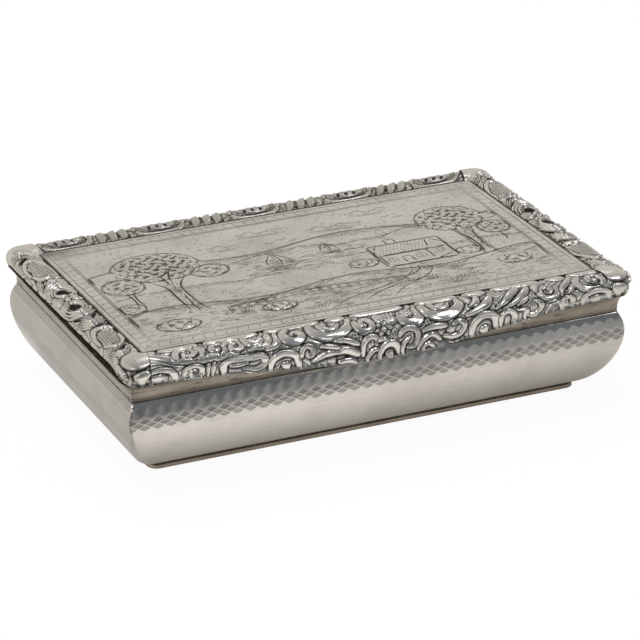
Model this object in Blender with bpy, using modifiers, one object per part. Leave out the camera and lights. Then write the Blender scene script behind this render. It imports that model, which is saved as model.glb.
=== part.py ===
"""Rectangular table snuff box: a bombe silver body on a small foot, and a hinged lid framed in cast borders.

Metres, +Z up. X runs along the long sides, the front with the thumbpiece faces -Y and the hinge is at +Y.
The origin is the middle of the floor space that the box takes up. The lid stands slightly open.

Most sections are drawn in two values: how far a point stands outside the crease, which is the sharp line
between the walls and the neck, and its height above the floor. A section is then carried round the plan.
"""
import math

import bmesh
import bpy
from mathutils import Vector

# Plan and height of the crease
CREASE_LENGTH = 0.0920
CREASE_WIDTH = 0.0556
CREASE_HEIGHT = 0.0158

# Bombe walls, one sheet turned in at the top as a ledge and tucked under to the foot
WALL = 0.0010
LEDGE = 0.0013
BULGE = 0.00115
BULGE_DROP = 0.0039
FOOT_INSET = 0.0052
SHOULDER_FULLNESS = 2.2
BELLY_FULLNESS = 1.7
CORNER_SHARP = 0.0004
CORNER_SOFT = 0.0018

# Foot wire and base plate
FOOT_HEIGHT = 0.0010
FOOT_WIDTH = 0.0024
FOOT_STEP = 0.00035
BASE_THICKNESS = 0.0010

# Cavetto neck, whose flat top is the rim
NECK_HEIGHT = 0.0041
NECK_THICKNESS = 0.0012
NECK_FLARE = 0.0017
NECK_FILLET = 0.0003

# Lid plate, engraved panel and cast borders
PLATE_THICKNESS = 0.0008
PANEL_THICKNESS = 0.0007
LID_OVERHANG = 0.0020
LID_CORNER = 0.0032
BORDER_INSET = 0.0035
BORDER_RISE = 0.0014
BORDER_FULLNESS = 2.3
SKIRT_THICKNESS = 0.0009
SKIRT_UNDERCUT = 0.0001
BORDER_SEAM_INSET = 0.0026

# Front border, which hangs over the neck and swells into the thumbpiece
FRONT_OVERHANG = 0.0029
FRONT_DROP = 0.0019
APRON_UNDERCUT = 0.0005
APRON_CLEARANCE = 0.00035
THUMB_REACH = 0.0013
THUMB_DROP = 0.0025
THUMB_LENGTH = 0.0840

# How far before its front corner a side border starts to widen and drop into the front one
LEAD_LENGTH = 0.0045

# Flange under the lid
FLANGE_THICKNESS = 0.0008
FLANGE_DEPTH = 0.0015
FLANGE_CLEARANCE = 0.00035
FLANGE_BACK_GAP = 0.0032

# Hinge
HINGE_END_INSET = 0.0069
KNUCKLE_COUNT = 7
KNUCKLE_RADIUS = 0.00115
KNUCKLE_GAP = 0.0002
GROOVE_GAP = 0.00025
GROOVE_WEB = 0.0008
PIN_RADIUS = 0.0005
PIN_CLEARANCE = 0.00015
PLUG_LENGTH = 0.0010
BEARER_COVER = 0.0004
AJAR_ANGLE = math.radians(1.2)

# Gap between pieces that are soldered or seated, and how far a cutter runs past what it cuts
SEAT_GAP = 0.0003
OVERRUN = 0.0010

# Where the border's widest line lies between its seat and its lower edge, and how its skirt steps inwards
CREST_FOOT_SHARE = 0.4
SKIRT_STEP_SHARES = (0.6, 0.3)

# How much of the turn into the front a side border takes to widen, between which shares of it the skirt
# comes down, and how much of that drop it takes to stand clear of the neck
WIDEN_SHARE = 0.9
DROP_SHARES = (0.35, 0.9)
CLEAR_SHARE = 0.3

CORNER_STEPS = 5
LEAD_STEPS = 4
BELLY_STEPS = 11
SHOULDER_STEPS = 6
CAVETTO_STEPS = 6
CREST_STEPS = 11
FRONT_STEPS = 40
GROOVE_STEPS = 8
ROUND_STEPS = 24

# Finishes: colour and roughness
SILVER = ((0.74, 0.72, 0.68), 0.25)
ENGRAVED = ((0.70, 0.68, 0.64), 0.38)
GILT = ((0.80, 0.58, 0.30), 0.30)

HALF_LENGTH = CREASE_LENGTH / 2
HALF_WIDTH = CREASE_WIDTH / 2
BULGE_HEIGHT = CREASE_HEIGHT - BULGE_DROP
WALL_FOOT = FOOT_HEIGHT + SEAT_GAP
NECK_FOOT = CREASE_HEIGHT + SEAT_GAP
RIM_HEIGHT = CREASE_HEIGHT + NECK_HEIGHT
PLATE_BOTTOM = RIM_HEIGHT + SEAT_GAP
PLATE_TOP = PLATE_BOTTOM + PLATE_THICKNESS
PANEL_BOTTOM = PLATE_TOP + SEAT_GAP
PANEL_TOP = PANEL_BOTTOM + PANEL_THICKNESS
BORDER_TOP = PANEL_BOTTOM + BORDER_RISE
SKIRT_INSIDE = LID_OVERHANG - SKIRT_THICKNESS
PLATE_EDGE = SKIRT_INSIDE - SEAT_GAP
APRON_INSIDE = NECK_FLARE + APRON_CLEARANCE
SEAM_X = HALF_LENGTH - BORDER_SEAM_INSET
SEAM_INNER_X = HALF_LENGTH - BORDER_INSET - CORNER_SHARP - SEAT_GAP
HINGE_LENGTH = CREASE_LENGTH - 2 * HINGE_END_INSET
GROOVE_RADIUS = KNUCKLE_RADIUS + GROOVE_GAP
GROOVE_BACK = GROOVE_WEB - NECK_THICKNESS
HINGE_OUT = GROOVE_BACK + GROOVE_RADIUS
HINGE_Y = HALF_WIDTH + HINGE_OUT
HINGE_Z = RIM_HEIGHT - BEARER_COVER - GROOVE_RADIUS
FRONT_REACH = HALF_WIDTH + FRONT_OVERHANG + THUMB_REACH
BACK_REACH = max(HINGE_Y + KNUCKLE_RADIUS, HALF_WIDTH + LID_OVERHANG)
PLAN_SHIFT = (FRONT_REACH - BACK_REACH) / 2

# The corners of the plan in the order in which a frame goes round, with the direction each one starts from
CORNERS = {(-1, -1): math.pi, (1, -1): 1.5 * math.pi, (1, 1): 0.0, (-1, 1): 0.5 * math.pi}
OUTWARD = {"front": (0, -1), "right": (1, 0), "back": (0, 1), "left": (-1, 0)}
ALONG_X = (0, math.pi / 2, 0)
SECTION_UPRIGHT = (math.pi / 2, 0, math.pi / 2)


def clear_scene():
    for item in list(bpy.data.objects):
        bpy.data.objects.remove(item, do_unlink=True)


def new_collection(name):
    group = bpy.data.collections.new(name)
    bpy.context.scene.collection.children.link(group)
    return group


def metal(name, finish):
    colour, roughness = finish
    surface = bpy.data.materials.new(name)
    surface.use_nodes = True
    shader = surface.node_tree.nodes["Principled BSDF"]
    shader.inputs["Base Color"].default_value = (*colour, 1.0)
    shader.inputs["Metallic"].default_value = 1.0
    shader.inputs["Roughness"].default_value = roughness
    return surface


class Assembly:
    """Pieces that hang on one pivot, with their places given in the frame of the shut box."""

    def __init__(self, name, group, pivot, drawn_at):
        self.group = group
        self.drawn_at = Vector(drawn_at)
        self.pivot = bpy.data.objects.new(name, None)
        self.pivot.parent = pivot
        self.pivot.location = self.drawn_at
        group.objects.link(self.pivot)

    def add(self, name, shape, finish, place=(0, 0, 0), turn=(0, 0, 0)):
        piece = bpy.data.objects.new(name, shape)
        shape.materials.append(metal(name, finish))
        self.group.objects.link(piece)
        piece.parent = self.pivot
        piece.location = Vector(place) - self.drawn_at
        piece.rotation_euler = turn
        return piece


def finished_mesh(bm):
    """Turn a bmesh into a mesh with its faces outwards, smooth but for its edges."""
    mesh = bpy.data.meshes.new("solid")
    bmesh.ops.recalc_face_normals(bm, faces=bm.faces)
    bm.to_mesh(mesh)
    bm.free()
    mesh.shade_smooth()
    mesh.set_sharp_from_angle(angle=math.radians(35))
    return mesh


def loft(rings, closed=False):
    """Skin a row of rings that have as many points each, as an endless frame or with both ends capped."""
    bm = bmesh.new()
    rows = [[bm.verts.new(point) for point in ring] for ring in rings]
    following = rows[1:] + rows[:1] if closed else rows[1:]
    for row, after in zip(rows, following):
        for i in range(len(row)):
            j = (i + 1) % len(row)
            bm.faces.new((row[i], row[j], after[j], after[i]))
    if not closed:
        bm.faces.new(rows[0])
        bm.faces.new(rows[-1])
    return bm


def flat_shape(outline, thickness):
    """A flat outline as a filled 2D curve, as thick on either side of its plane."""
    curve = bpy.data.curves.new("outline", "CURVE")
    curve.dimensions = "2D"
    curve.fill_mode = "BOTH"
    curve.extrude = thickness / 2
    spline = curve.splines.new("POLY")
    spline.points.add(len(outline) - 1)
    for point, (x, y) in zip(spline.points, outline):
        point.co = (x, y, 0, 1)
    spline.use_cyclic_u = True
    return curve


def block(size):
    bm = bmesh.new()
    bmesh.ops.create_cube(bm, size=1)
    bmesh.ops.scale(bm, verts=bm.verts, vec=size)
    return finished_mesh(bm)


def rod(radius, length):
    bm = bmesh.new()
    bmesh.ops.create_cone(bm, cap_ends=True, segments=ROUND_STEPS, radius1=radius, radius2=radius, depth=length)
    return finished_mesh(bm)


def corner_places(corner):
    """Give the places round one corner, each a function from outset and radius to a point of the plan."""
    side_x, side_y = corner

    def place_at(angle):
        def place(outset, radius):
            x = side_x * (HALF_LENGTH + outset - radius) + radius * math.cos(angle)
            y = side_y * (HALF_WIDTH + outset - radius) + radius * math.sin(angle)
            return x, y
        return place

    return [place_at(CORNERS[corner] + math.pi / 2 * i / CORNER_STEPS) for i in range(CORNER_STEPS + 1)]


def seam_x(outset):
    """The borders' seams lean from the corner of the panel out to the lid's edge."""
    share = (outset + BORDER_INSET) / (FRONT_OVERHANG + BORDER_INSET)
    return SEAM_INNER_X + (SEAM_X - SEAM_INNER_X) * share


def run_place(side_y, share):
    """Give the place on a long side that lies a share of the way from its middle to its seam."""
    return lambda outset, radius: (share * (seam_x(outset) - SEAT_GAP / 2), side_y * (HALF_WIDTH + outset))


def seam_place(side_x, side_y):
    """Give the place where the casting of a short side ends at its seam on a long side."""
    return lambda outset, radius: (side_x * (seam_x(outset) + SEAT_GAP / 2), side_y * (HALF_WIDTH + outset))


def lead_place(side_x, lead):
    """Give the place on a short side that lies a length before the start of its front corner."""
    return lambda outset, radius: (side_x * (HALF_LENGTH + outset), lead + radius - HALF_WIDTH - outset)


def rounded_outline(outset, radius):
    return [place(outset, radius) for corner in CORNERS for place in corner_places(corner)]


def carried_round(section):
    """Carry a section of (outset, height, radius) points round all four corners as one endless frame."""
    places = [place for corner in CORNERS for place in corner_places(corner)]
    return loft([[(*place(o, r), z) for o, z, r in section] for place in places], closed=True)


def keep_beyond(bm, point, direction):
    """Cut a solid with a plane, keep the side that the direction points to, and close the cut."""
    everything = bm.verts[:] + bm.edges[:] + bm.faces[:]
    bmesh.ops.bisect_plane(bm, geom=everything, plane_co=point, plane_no=direction, clear_inner=True)
    bmesh.ops.holes_fill(bm, edges=[edge for edge in bm.edges if edge.is_boundary], sides=0)


def mitred_strip(section, side):
    """Cut one side's strip from the frame that a section makes, at the mitres of its two corners."""
    side_x, side_y = OUTWARD[side]
    bm = carried_round(section)
    keep_beyond(bm, Vector((0, 0, 0)), Vector((side_x, side_y, 0)))
    for corner_x, corner_y in CORNERS:
        if corner_x * side_x + corner_y * side_y > 0:
            inwards = Vector((side_x or -corner_x, side_y or -corner_y, 0)).normalized()
            mitre = Vector((corner_x * HALF_LENGTH, corner_y * HALF_WIDTH, 0))
            keep_beyond(bm, mitre + inwards * SEAT_GAP / 2, inwards)
    return finished_mesh(bm)


def add_knuckle(assembly, name, middle, length, finish):
    """Turn a tube's wall, drawn as a loop beside the axis, and lay the tube on the hinge axis."""
    bore = PIN_RADIUS + PIN_CLEARANCE
    top = length / 2
    mesh = bpy.data.meshes.new("tube")
    corners = [(KNUCKLE_RADIUS, 0, top), (KNUCKLE_RADIUS, 0, -top), (bore, 0, -top), (bore, 0, top)]
    mesh.from_pydata(corners, [(0, 1), (1, 2), (2, 3), (3, 0)], [])
    piece = assembly.add(name, mesh, finish, (middle, HINGE_Y, HINGE_Z), ALONG_X)
    turn = piece.modifiers.new("turn", "SCREW")
    turn.steps = ROUND_STEPS
    turn.render_steps = ROUND_STEPS
    turn.use_merge_vertices = True
    turn.merge_threshold = SEAT_GAP / 100


def cut(piece, cutter):
    cutter.hide_render = True
    cutter.display_type = "WIRE"
    boolean = piece.modifiers.new(cutter.name, "BOOLEAN")
    boolean.operation = "DIFFERENCE"
    boolean.solver = "EXACT"
    boolean.object = cutter


def shoulder_outset(height):
    """The wall leans out below the crease and eases to upright at its widest line."""
    return BULGE * (1 - ((height - BULGE_HEIGHT) / BULGE_DROP) ** SHOULDER_FULLNESS)


def belly_curve(widest, bottom):
    """A quarter of a squared ellipse, from the widest line down to where the wall meets the foot."""
    power = 2 / BELLY_FULLNESS
    curve = []
    for i in range(BELLY_STEPS + 1):
        turn = math.pi / 2 * i / BELLY_STEPS
        outset = -FOOT_INSET + (widest + FOOT_INSET) * max(0.0, math.cos(turn)) ** power
        curve.append((outset, BULGE_HEIGHT - (BULGE_HEIGHT - bottom) * math.sin(turn) ** power))
    return curve


def wall_section():
    """A bombe wall: ledge, shoulder, belly and tuck, then back up its inner face.

    The corners of the plan are sharp at the crease and soften towards the foot.
    """
    outer = [(-LEDGE, CREASE_HEIGHT)]
    for i in range(SHOULDER_STEPS):
        height = CREASE_HEIGHT - BULGE_DROP * i / SHOULDER_STEPS
        outer.append((shoulder_outset(height), height))
    inner = belly_curve(BULGE - WALL, WALL_FOOT + WALL)
    inner.reverse()
    turned_in = CREASE_HEIGHT - 2 * WALL
    inner += [(shoulder_outset(turned_in) - WALL, turned_in), (BULGE - 2 * WALL, CREASE_HEIGHT - WALL)]
    inner.append((-LEDGE, CREASE_HEIGHT - WALL))
    section = []
    for outset, height in outer + belly_curve(BULGE, WALL_FOOT) + inner:
        share = (CREASE_HEIGHT - height) / (CREASE_HEIGHT - WALL_FOOT)
        section.append((outset, height, CORNER_SHARP + (CORNER_SOFT - CORNER_SHARP) * share))
    return section


def foot_section():
    """A square wire with a step that leaves a shadow line under the belly."""
    face = -FOOT_INSET
    inside = face - FOOT_WIDTH
    step = FOOT_HEIGHT / 2
    outer = [(face, 0), (face, step), (face - FOOT_STEP, step + FOOT_STEP), (face - FOOT_STEP, FOOT_HEIGHT)]
    section = [(outset, height, CORNER_SOFT) for outset, height in outer]
    return section + [(inside, FOOT_HEIGHT, CORNER_SHARP), (inside, 0, CORNER_SHARP)]


def neck_section():
    """A moulding that is upright inside, and outside a cavetto arc from the crease out to the lip.

    The corners of the plan are sharp at the crease and round off towards the lip, as the lid's do.
    """
    low = NECK_FOOT + NECK_FILLET
    rise = RIM_HEIGHT - NECK_FILLET - low
    radius = (rise ** 2 + NECK_FLARE ** 2) / (2 * NECK_FLARE)
    outline = [(-NECK_THICKNESS, RIM_HEIGHT), (-NECK_THICKNESS, NECK_FOOT), (0, NECK_FOOT)]
    for i in range(CAVETTO_STEPS + 1):
        height = rise * i / CAVETTO_STEPS
        outline.append((radius - math.sqrt(radius ** 2 - height ** 2), low + height))
    outline.append((NECK_FLARE, RIM_HEIGHT))
    rounding = LID_CORNER + NECK_FLARE - LID_OVERHANG - CORNER_SHARP
    return [(o, z, CORNER_SHARP + rounding * max(0.0, o / NECK_FLARE)) for o, z in outline]


def bearer_section():
    """The strip over the hinge tube, as (y, z): hollow below for the knuckles, let into the plate above."""
    inner = GROOVE_BACK + SEAT_GAP
    start = math.acos((inner - HINGE_OUT) / GROOVE_RADIUS)
    end = math.pi / 4
    outline = [(inner, PLATE_TOP)]
    for i in range(GROOVE_STEPS + 1):
        angle = start + (end - start) * i / GROOVE_STEPS
        outset = HINGE_OUT + GROOVE_RADIUS * math.cos(angle)
        outline.append((outset, HINGE_Z + GROOVE_RADIUS * math.sin(angle)))
    outline += [(outset, RIM_HEIGHT), (PLATE_EDGE, RIM_HEIGHT), (PLATE_EDGE, PLATE_TOP)]
    return [(HALF_WIDTH + outset, height) for outset, height in outline]


def border_section(outset, drop, hang):
    """A cast border's (outset, height, radius) points: its skirt, its seat on the plate, and its crest.

    drop is how far the skirt hangs below the plate, and hang goes from 0 for a plain side to 1 for the front,
    where the skirt stands clear of the neck.
    """
    bottom = PLATE_BOTTOM - drop
    clear = eased(hang / CLEAR_SHARE)
    skirt = []
    for share, height in zip(SKIRT_STEP_SHARES, (bottom, PLATE_BOTTOM)):
        step = SKIRT_INSIDE + SKIRT_THICKNESS * share
        skirt.append((step + (APRON_INSIDE - step) * clear, height))
    seat = [(SKIRT_INSIDE, PLATE_BOTTOM), (SKIRT_INSIDE, PANEL_BOTTOM), (-BORDER_INSET, PANEL_BOTTOM)]
    middle = (LID_OVERHANG - BORDER_INSET) / 2
    widest_line = PANEL_BOTTOM - (PANEL_BOTTOM - bottom) * CREST_FOOT_SHARE
    power = 2 / BORDER_FULLNESS
    crest = []
    for i in range(1, CREST_STEPS + 1):
        turn = math.pi * (1 - i / CREST_STEPS)
        side = math.cos(turn)
        reach, foot = (outset - middle, widest_line) if side > 0 else (middle + BORDER_INSET, PANEL_BOTTOM)
        across = middle + math.copysign(abs(side) ** power, side) * reach
        crest.append((across, foot + (BORDER_TOP - foot) * max(0.0, math.sin(turn)) ** power))
    undercut = SKIRT_UNDERCUT + (APRON_UNDERCUT - SKIRT_UNDERCUT) * hang
    points = skirt + seat + crest + [(outset - undercut, bottom)]
    return [(o, z, max(CORNER_SHARP, LID_CORNER + o - LID_OVERHANG)) for o, z in points]


def eased(share):
    """Ease a share between 0 and 1 so that it starts and ends level."""
    share = min(1.0, max(0.0, share))
    return share * share * (3 - 2 * share)


def front_section(x):
    """The border's section at x on the front run, swelling towards the thumbpiece in the middle."""
    swell = math.cos(math.pi * min(0.5, abs(x) / THUMB_LENGTH)) ** 2
    return border_section(FRONT_OVERHANG + THUMB_REACH * swell, FRONT_DROP + THUMB_DROP * swell, 1)


def turning_section(share):
    """The border's section a share of the way through the turn from a short side into the front."""
    outset = LID_OVERHANG + (FRONT_OVERHANG - LID_OVERHANG) * eased(share / WIDEN_SHARE)
    start, end = DROP_SHARES
    hang = eased((share - start) / (end - start))
    return border_section(outset, FRONT_DROP * hang, hang)


def border_along(stations):
    """Skin a border's sections, each at its own place of the plan."""
    return finished_mesh(loft([[(*place(o, r), z) for o, z, r in section] for place, section in stations]))


def side_border(side_x):
    """The casting of a short side, which turns both corners and ends at a seam on the long sides."""
    plain = border_section(LID_OVERHANG, 0, 0)
    back_places = corner_places((side_x, 1))
    front_places = corner_places((side_x, -1))
    if side_x > 0:
        back_places.reverse()
        front_places.reverse()
    stations = [(seam_place(side_x, 1), plain)] + [(place, plain) for place in back_places]
    turning = [lead_place(side_x, LEAD_LENGTH * (1 - i / LEAD_STEPS)) for i in range(LEAD_STEPS)] + front_places
    for i, place in enumerate(turning):
        stations.append((place, turning_section(i / (len(turning) - 1))))
    stations.append((seam_place(side_x, -1), front_section(SEAM_X)))
    return border_along(stations)


def front_border():
    shares = [2 * i / FRONT_STEPS - 1 for i in range(FRONT_STEPS + 1)]
    return border_along([(run_place(-1, share), front_section(SEAM_X * share)) for share in shares])


def back_border():
    plain = border_section(LID_OVERHANG, 0, 0)
    return border_along([(run_place(1, share), plain) for share in (-1, 1)])


def plate_outline():
    """The plate's rounded outline, with a bay at the back for the strip over the hinge tube."""
    outline = rounded_outline(PLATE_EDGE, LID_CORNER + PLATE_EDGE - LID_OVERHANG)
    bay_x = HINGE_LENGTH / 2 + SEAT_GAP
    edge_y = HALF_WIDTH + PLATE_EDGE
    bay_y = HALF_WIDTH + GROOVE_BACK
    bay = [(bay_x, edge_y), (bay_x, bay_y), (-bay_x, bay_y), (-bay_x, edge_y)]
    before = 3 * (CORNER_STEPS + 1)
    return outline[:before] + bay + outline[before:]


def build_body(body, cutters):
    for side in OUTWARD:
        body.add(side + "_wall", mitred_strip(wall_section(), side), SILVER)
    base = flat_shape(rounded_outline(-FOOT_INSET - SEAT_GAP, CORNER_SOFT - SEAT_GAP), BASE_THICKNESS)
    body.add("base_plate", base, GILT, (0, 0, WALL_FOOT + BASE_THICKNESS / 2))
    for side in OUTWARD:
        body.add("foot_" + side, mitred_strip(foot_section(), side), SILVER)
    necks = {side: body.add("neck_" + side, mitred_strip(neck_section(), side), SILVER) for side in OUTWARD}
    groove_length = HINGE_LENGTH + 2 * SEAT_GAP
    groove = rod(GROOVE_RADIUS, groove_length)
    cut(necks["back"], cutters.add("hinge_groove", groove, SILVER, (0, HINGE_Y, HINGE_Z), ALONG_X))
    low = Vector((-groove_length / 2, HALF_WIDTH + GROOVE_BACK, HINGE_Z))
    high = Vector((groove_length / 2, HALF_WIDTH + NECK_FLARE + OVERRUN, RIM_HEIGHT + OVERRUN))
    cut(necks["back"], cutters.add("bearer_room", block(high - low), SILVER, (low + high) / 2))


def build_hinge(body, lid):
    length = (HINGE_LENGTH - (KNUCKLE_COUNT - 1) * KNUCKLE_GAP) / KNUCKLE_COUNT
    for i in range(KNUCKLE_COUNT):
        middle = (length + KNUCKLE_GAP) * (i - (KNUCKLE_COUNT - 1) / 2)
        owner, name = (lid, "lid_knuckle_") if i % 2 else (body, "body_knuckle_")
        add_knuckle(owner, name + str(i // 2 + 1), middle, length, SILVER)
    pin = rod(PIN_RADIUS, HINGE_LENGTH - 2 * (PLUG_LENGTH + SEAT_GAP))
    body.add("hinge_pin", pin, SILVER, (0, HINGE_Y, HINGE_Z), ALONG_X)
    plug_x = (HINGE_LENGTH - PLUG_LENGTH) / 2
    for side, x in (("left", -plug_x), ("right", plug_x)):
        body.add("hinge_plug_" + side, rod(PIN_RADIUS, PLUG_LENGTH), SILVER, (x, HINGE_Y, HINGE_Z), ALONG_X)
    lid.add("lid_bearer", flat_shape(bearer_section(), HINGE_LENGTH), SILVER, turn=SECTION_UPRIGHT)


def build_lid(lid):
    plate = flat_shape(plate_outline(), PLATE_THICKNESS)
    lid.add("lid_plate", plate, GILT, (0, 0, PLATE_BOTTOM + PLATE_THICKNESS / 2))
    panel = flat_shape(rounded_outline(-BORDER_INSET - SEAT_GAP, CORNER_SHARP), PANEL_THICKNESS)
    lid.add("scene_panel", panel, ENGRAVED, (0, 0, PANEL_BOTTOM + PANEL_THICKNESS / 2))
    lid.add("border_front", front_border(), SILVER)
    lid.add("border_back", back_border(), SILVER)
    lid.add("border_left", side_border(-1), SILVER)
    lid.add("border_right", side_border(1), SILVER)


def build_flanges(lid):
    """Hang the three strips that enter the rim; the side strips butt against the front one."""
    outer_x = HALF_LENGTH - NECK_THICKNESS - FLANGE_CLEARANCE
    outer_y = HALF_WIDTH - NECK_THICKNESS - FLANGE_CLEARANCE
    middle_z = RIM_HEIGHT - FLANGE_DEPTH / 2
    front = block(Vector((2 * outer_x, FLANGE_THICKNESS, FLANGE_DEPTH)))
    lid.add("flange_front", front, GILT, (0, FLANGE_THICKNESS / 2 - outer_y, middle_z))
    start_y = FLANGE_THICKNESS + SEAT_GAP - outer_y
    end_y = HALF_WIDTH - FLANGE_BACK_GAP
    middle_x = outer_x - FLANGE_THICKNESS / 2
    for side, x in (("left", -middle_x), ("right", middle_x)):
        strip = block(Vector((FLANGE_THICKNESS, end_y - start_y, FLANGE_DEPTH)))
        lid.add("flange_" + side, strip, GILT, (x, (start_y + end_y) / 2, middle_z))


def build():
    clear_scene()
    parts = new_collection("snuff_box")
    body = Assembly("body", parts, None, (0, 0, 0))
    cutters = Assembly("cutter_frame", new_collection("cutters"), body.pivot, (0, 0, 0))
    lid = Assembly("lid", parts, body.pivot, (0, HINGE_Y, HINGE_Z))
    build_body(body, cutters)
    build_hinge(body, lid)
    build_lid(lid)
    build_flanges(lid)
    body.pivot.location.y = PLAN_SHIFT
    lid.pivot.rotation_euler.x = -AJAR_ANGLE


build()
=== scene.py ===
"""A rectangular table snuff box in silver, seen from its thumbpiece side with the lid a little open.

Lengths are in millimetres until a mesh is made. Many shapes are drawn as the part's are: how far a point
stands outside the crease, which is the sharp line between wall and neck, and its height over the floor.
"""
import math

import bpy
import numpy as np
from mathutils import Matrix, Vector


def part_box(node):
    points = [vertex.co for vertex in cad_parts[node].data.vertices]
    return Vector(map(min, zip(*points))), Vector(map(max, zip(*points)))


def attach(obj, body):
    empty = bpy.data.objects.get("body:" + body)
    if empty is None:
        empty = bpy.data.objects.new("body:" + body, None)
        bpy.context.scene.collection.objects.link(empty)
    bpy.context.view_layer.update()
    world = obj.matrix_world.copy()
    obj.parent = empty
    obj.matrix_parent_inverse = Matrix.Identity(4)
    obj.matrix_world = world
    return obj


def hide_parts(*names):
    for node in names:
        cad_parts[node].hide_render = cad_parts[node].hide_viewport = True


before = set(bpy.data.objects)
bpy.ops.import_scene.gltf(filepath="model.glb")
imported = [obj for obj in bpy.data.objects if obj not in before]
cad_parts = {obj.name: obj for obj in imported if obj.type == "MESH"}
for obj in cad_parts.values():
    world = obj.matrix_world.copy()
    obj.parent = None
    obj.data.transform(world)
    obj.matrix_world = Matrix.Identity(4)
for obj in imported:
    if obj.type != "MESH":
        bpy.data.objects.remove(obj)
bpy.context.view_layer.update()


# The stage: a pale sweep of card that the box stands on, in a white surround, under one large soft lamp and
# three small ones. Glowing cards out of sight, one with a lighter strip, are painted reflections for the silver to
# mirror. The floor glows: white to the camera, and to reflections a graded painted shadow round the box.
scene = bpy.context.scene
scene.view_settings.view_transform = "Standard"
MM = 0.001

TURN, HEIGHT_ANGLE = math.radians(-24.41), math.radians(24.09)
to_right = np.array([math.cos(TURN), math.sin(TURN), 0])
to_camera = np.array([
    math.sin(TURN) * math.cos(HEIGHT_ANGLE), -math.cos(TURN) * math.cos(HEIGHT_ANGLE), math.sin(HEIGHT_ANGLE)])
to_top = np.cross(to_camera, to_right)
camera = bpy.data.objects.new("camera", bpy.data.cameras.new("camera"))
camera.data.lens = 213.23
camera.data.sensor_width = 36
camera.data.clip_start, camera.data.clip_end = 0.01, 20
scene.collection.objects.link(camera)
aim = np.array([0, 1.025, 0]) + to_right * 0.99 + to_top * 10.32
camera.location = (aim + to_camera * 679.16) * MM
camera.rotation_euler = (math.pi / 2 - HEIGHT_ANGLE, 0, TURN)
scene.camera = camera


class Mark:
    """A number, colour or vector that varies over a surface: arithmetic on marks adds Math nodes."""

    def __init__(self, tree, socket):
        self.tree = tree
        self.socket = socket

    def math(self, operation, *values):
        return place_node(self.tree, "ShaderNodeMath", dict(enumerate(values)), operation=operation)

    def __add__(self, other):
        return self.math("ADD", self, other)

    def __sub__(self, other):
        return self.math("SUBTRACT", self, other)

    def __rsub__(self, other):
        return self.math("SUBTRACT", other, self)

    def __mul__(self, other):
        return self.math("MULTIPLY", self, other)

    __radd__, __rmul__ = __add__, __mul__

    def between(self, low, high):
        """Go smoothly from 0 where the mark is low to 1 where it is high."""
        ends = {0: self, 1: low, 2: high}
        return place_node(self.tree, "ShaderNodeMapRange", ends, interpolation_type="SMOOTHSTEP")


def place_node(tree, kind, inputs=None, output=0, **settings):
    """Add a node: its settings first, then a value or a mark for each input, and give one output."""
    node = tree.nodes.new(kind)
    for key, value in settings.items():
        setattr(node, key, value)
    for key, value in (inputs or {}).items():
        if isinstance(value, Mark):
            tree.links.new(value.socket, node.inputs[key])
        else:
            node.inputs[key].default_value = value
    return Mark(tree, node.outputs[output]) if node.outputs else None


def coordinates(tree, output):
    """X, Y and Z as marks: output 0 is the way out in the world, output 3 the place in metres."""
    spot = place_node(tree, "ShaderNodeTexCoord", output=output)
    return [place_node(tree, "ShaderNodeSeparateXYZ", {0: spot}, k) for k in range(3)]


def blended(share, under, over):
    """Mix two colours, each a mark or a plain colour."""
    under, over = (value if isinstance(value, Mark) else (*value, 1) for value in (under, over))
    return place_node(share.tree, "ShaderNodeMix", {0: share, 6: under, 7: over}, 2, data_type="RGBA")


def emptied(material):
    """Switch a material or world to nodes, take the starting nodes out and give its tree."""
    material.use_nodes = True
    material.node_tree.nodes.clear()
    return material.node_tree


world = bpy.data.worlds.new("surround")
scene.world = world
tree = emptied(world)
easting, northing, rising = coordinates(tree, 0)
low_down = blended(northing.between(-0.5, 0.7), (0.12, 0.13, 0.14), (0.56, 0.54, 0.51))
high_up = blended(northing.between(-0.55, 0.5), (0.17, 0.18, 0.195), (0.44, 0.43, 0.41))
dome = blended(rising.between(0.25, 0.8), low_down, high_up)
dome = blended(easting.between(-0.15, -0.75), dome, (0.62, 0.60, 0.56))
seen = place_node(tree, "ShaderNodeLightPath")
surround = place_node(tree, "ShaderNodeBackground", {"Color": blended(seen, dome, (1, 1, 1))})
place_node(tree, "ShaderNodeOutputWorld", {0: surround})


def flat_card(name, low, high):
    """A rectangle between two corners, level or upright along X."""
    mesh = bpy.data.meshes.new(name)
    (a, b, c), (d, e, f) = low, high
    corners = np.array([[a, b, c], [d, b, c], [d, e, f], [a, e, f]])
    mesh.from_pydata((corners * MM).tolist(), [], [(0, 1, 2, 3)])
    card = bpy.data.objects.new(name, mesh)
    scene.collection.objects.link(card)
    return card


floor = flat_card("floor", (-3000, -3000, -0.02), (3000, 3000, -0.02))
paper = bpy.data.materials.new("pale_paper")
tree = emptied(paper)
seen, mirrored = (place_node(tree, "ShaderNodeLightPath", output=k) for k in (0, 3))
easting, northing, _ = coordinates(tree, 3)
FOOTPRINT_X, FOOTPRINT_Y = 0.047, 0.029
# The glow that reflections see is a painted shadow: dark round the box's footprint, stronger to the right, to the left
# of the box and behind it.
away = easting.math("ABSOLUTE", easting) - FOOTPRINT_X
away = away.math("MAXIMUM", away, northing.math("ABSOLUTE", northing) - FOOTPRINT_Y)
side_shade_share = easting.between(-0.02, 0.09) * 0.4 + easting.between(-0.044, -0.05) * 0.5
back_shade_share = northing.between(0.06, 0.2) * 0.5
unshadowed_share = away.between(-0.013, 0.008) * (1 - side_shade_share) * (1 - back_shade_share)
shadowed_glow_colour = blended(unshadowed_share, (0.17, 0.157, 0.137), (0.83, 0.80, 0.765))
plain = place_node(tree, "ShaderNodeBsdfDiffuse", {"Color": (0.86, 0.85, 0.83, 1)})
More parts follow.
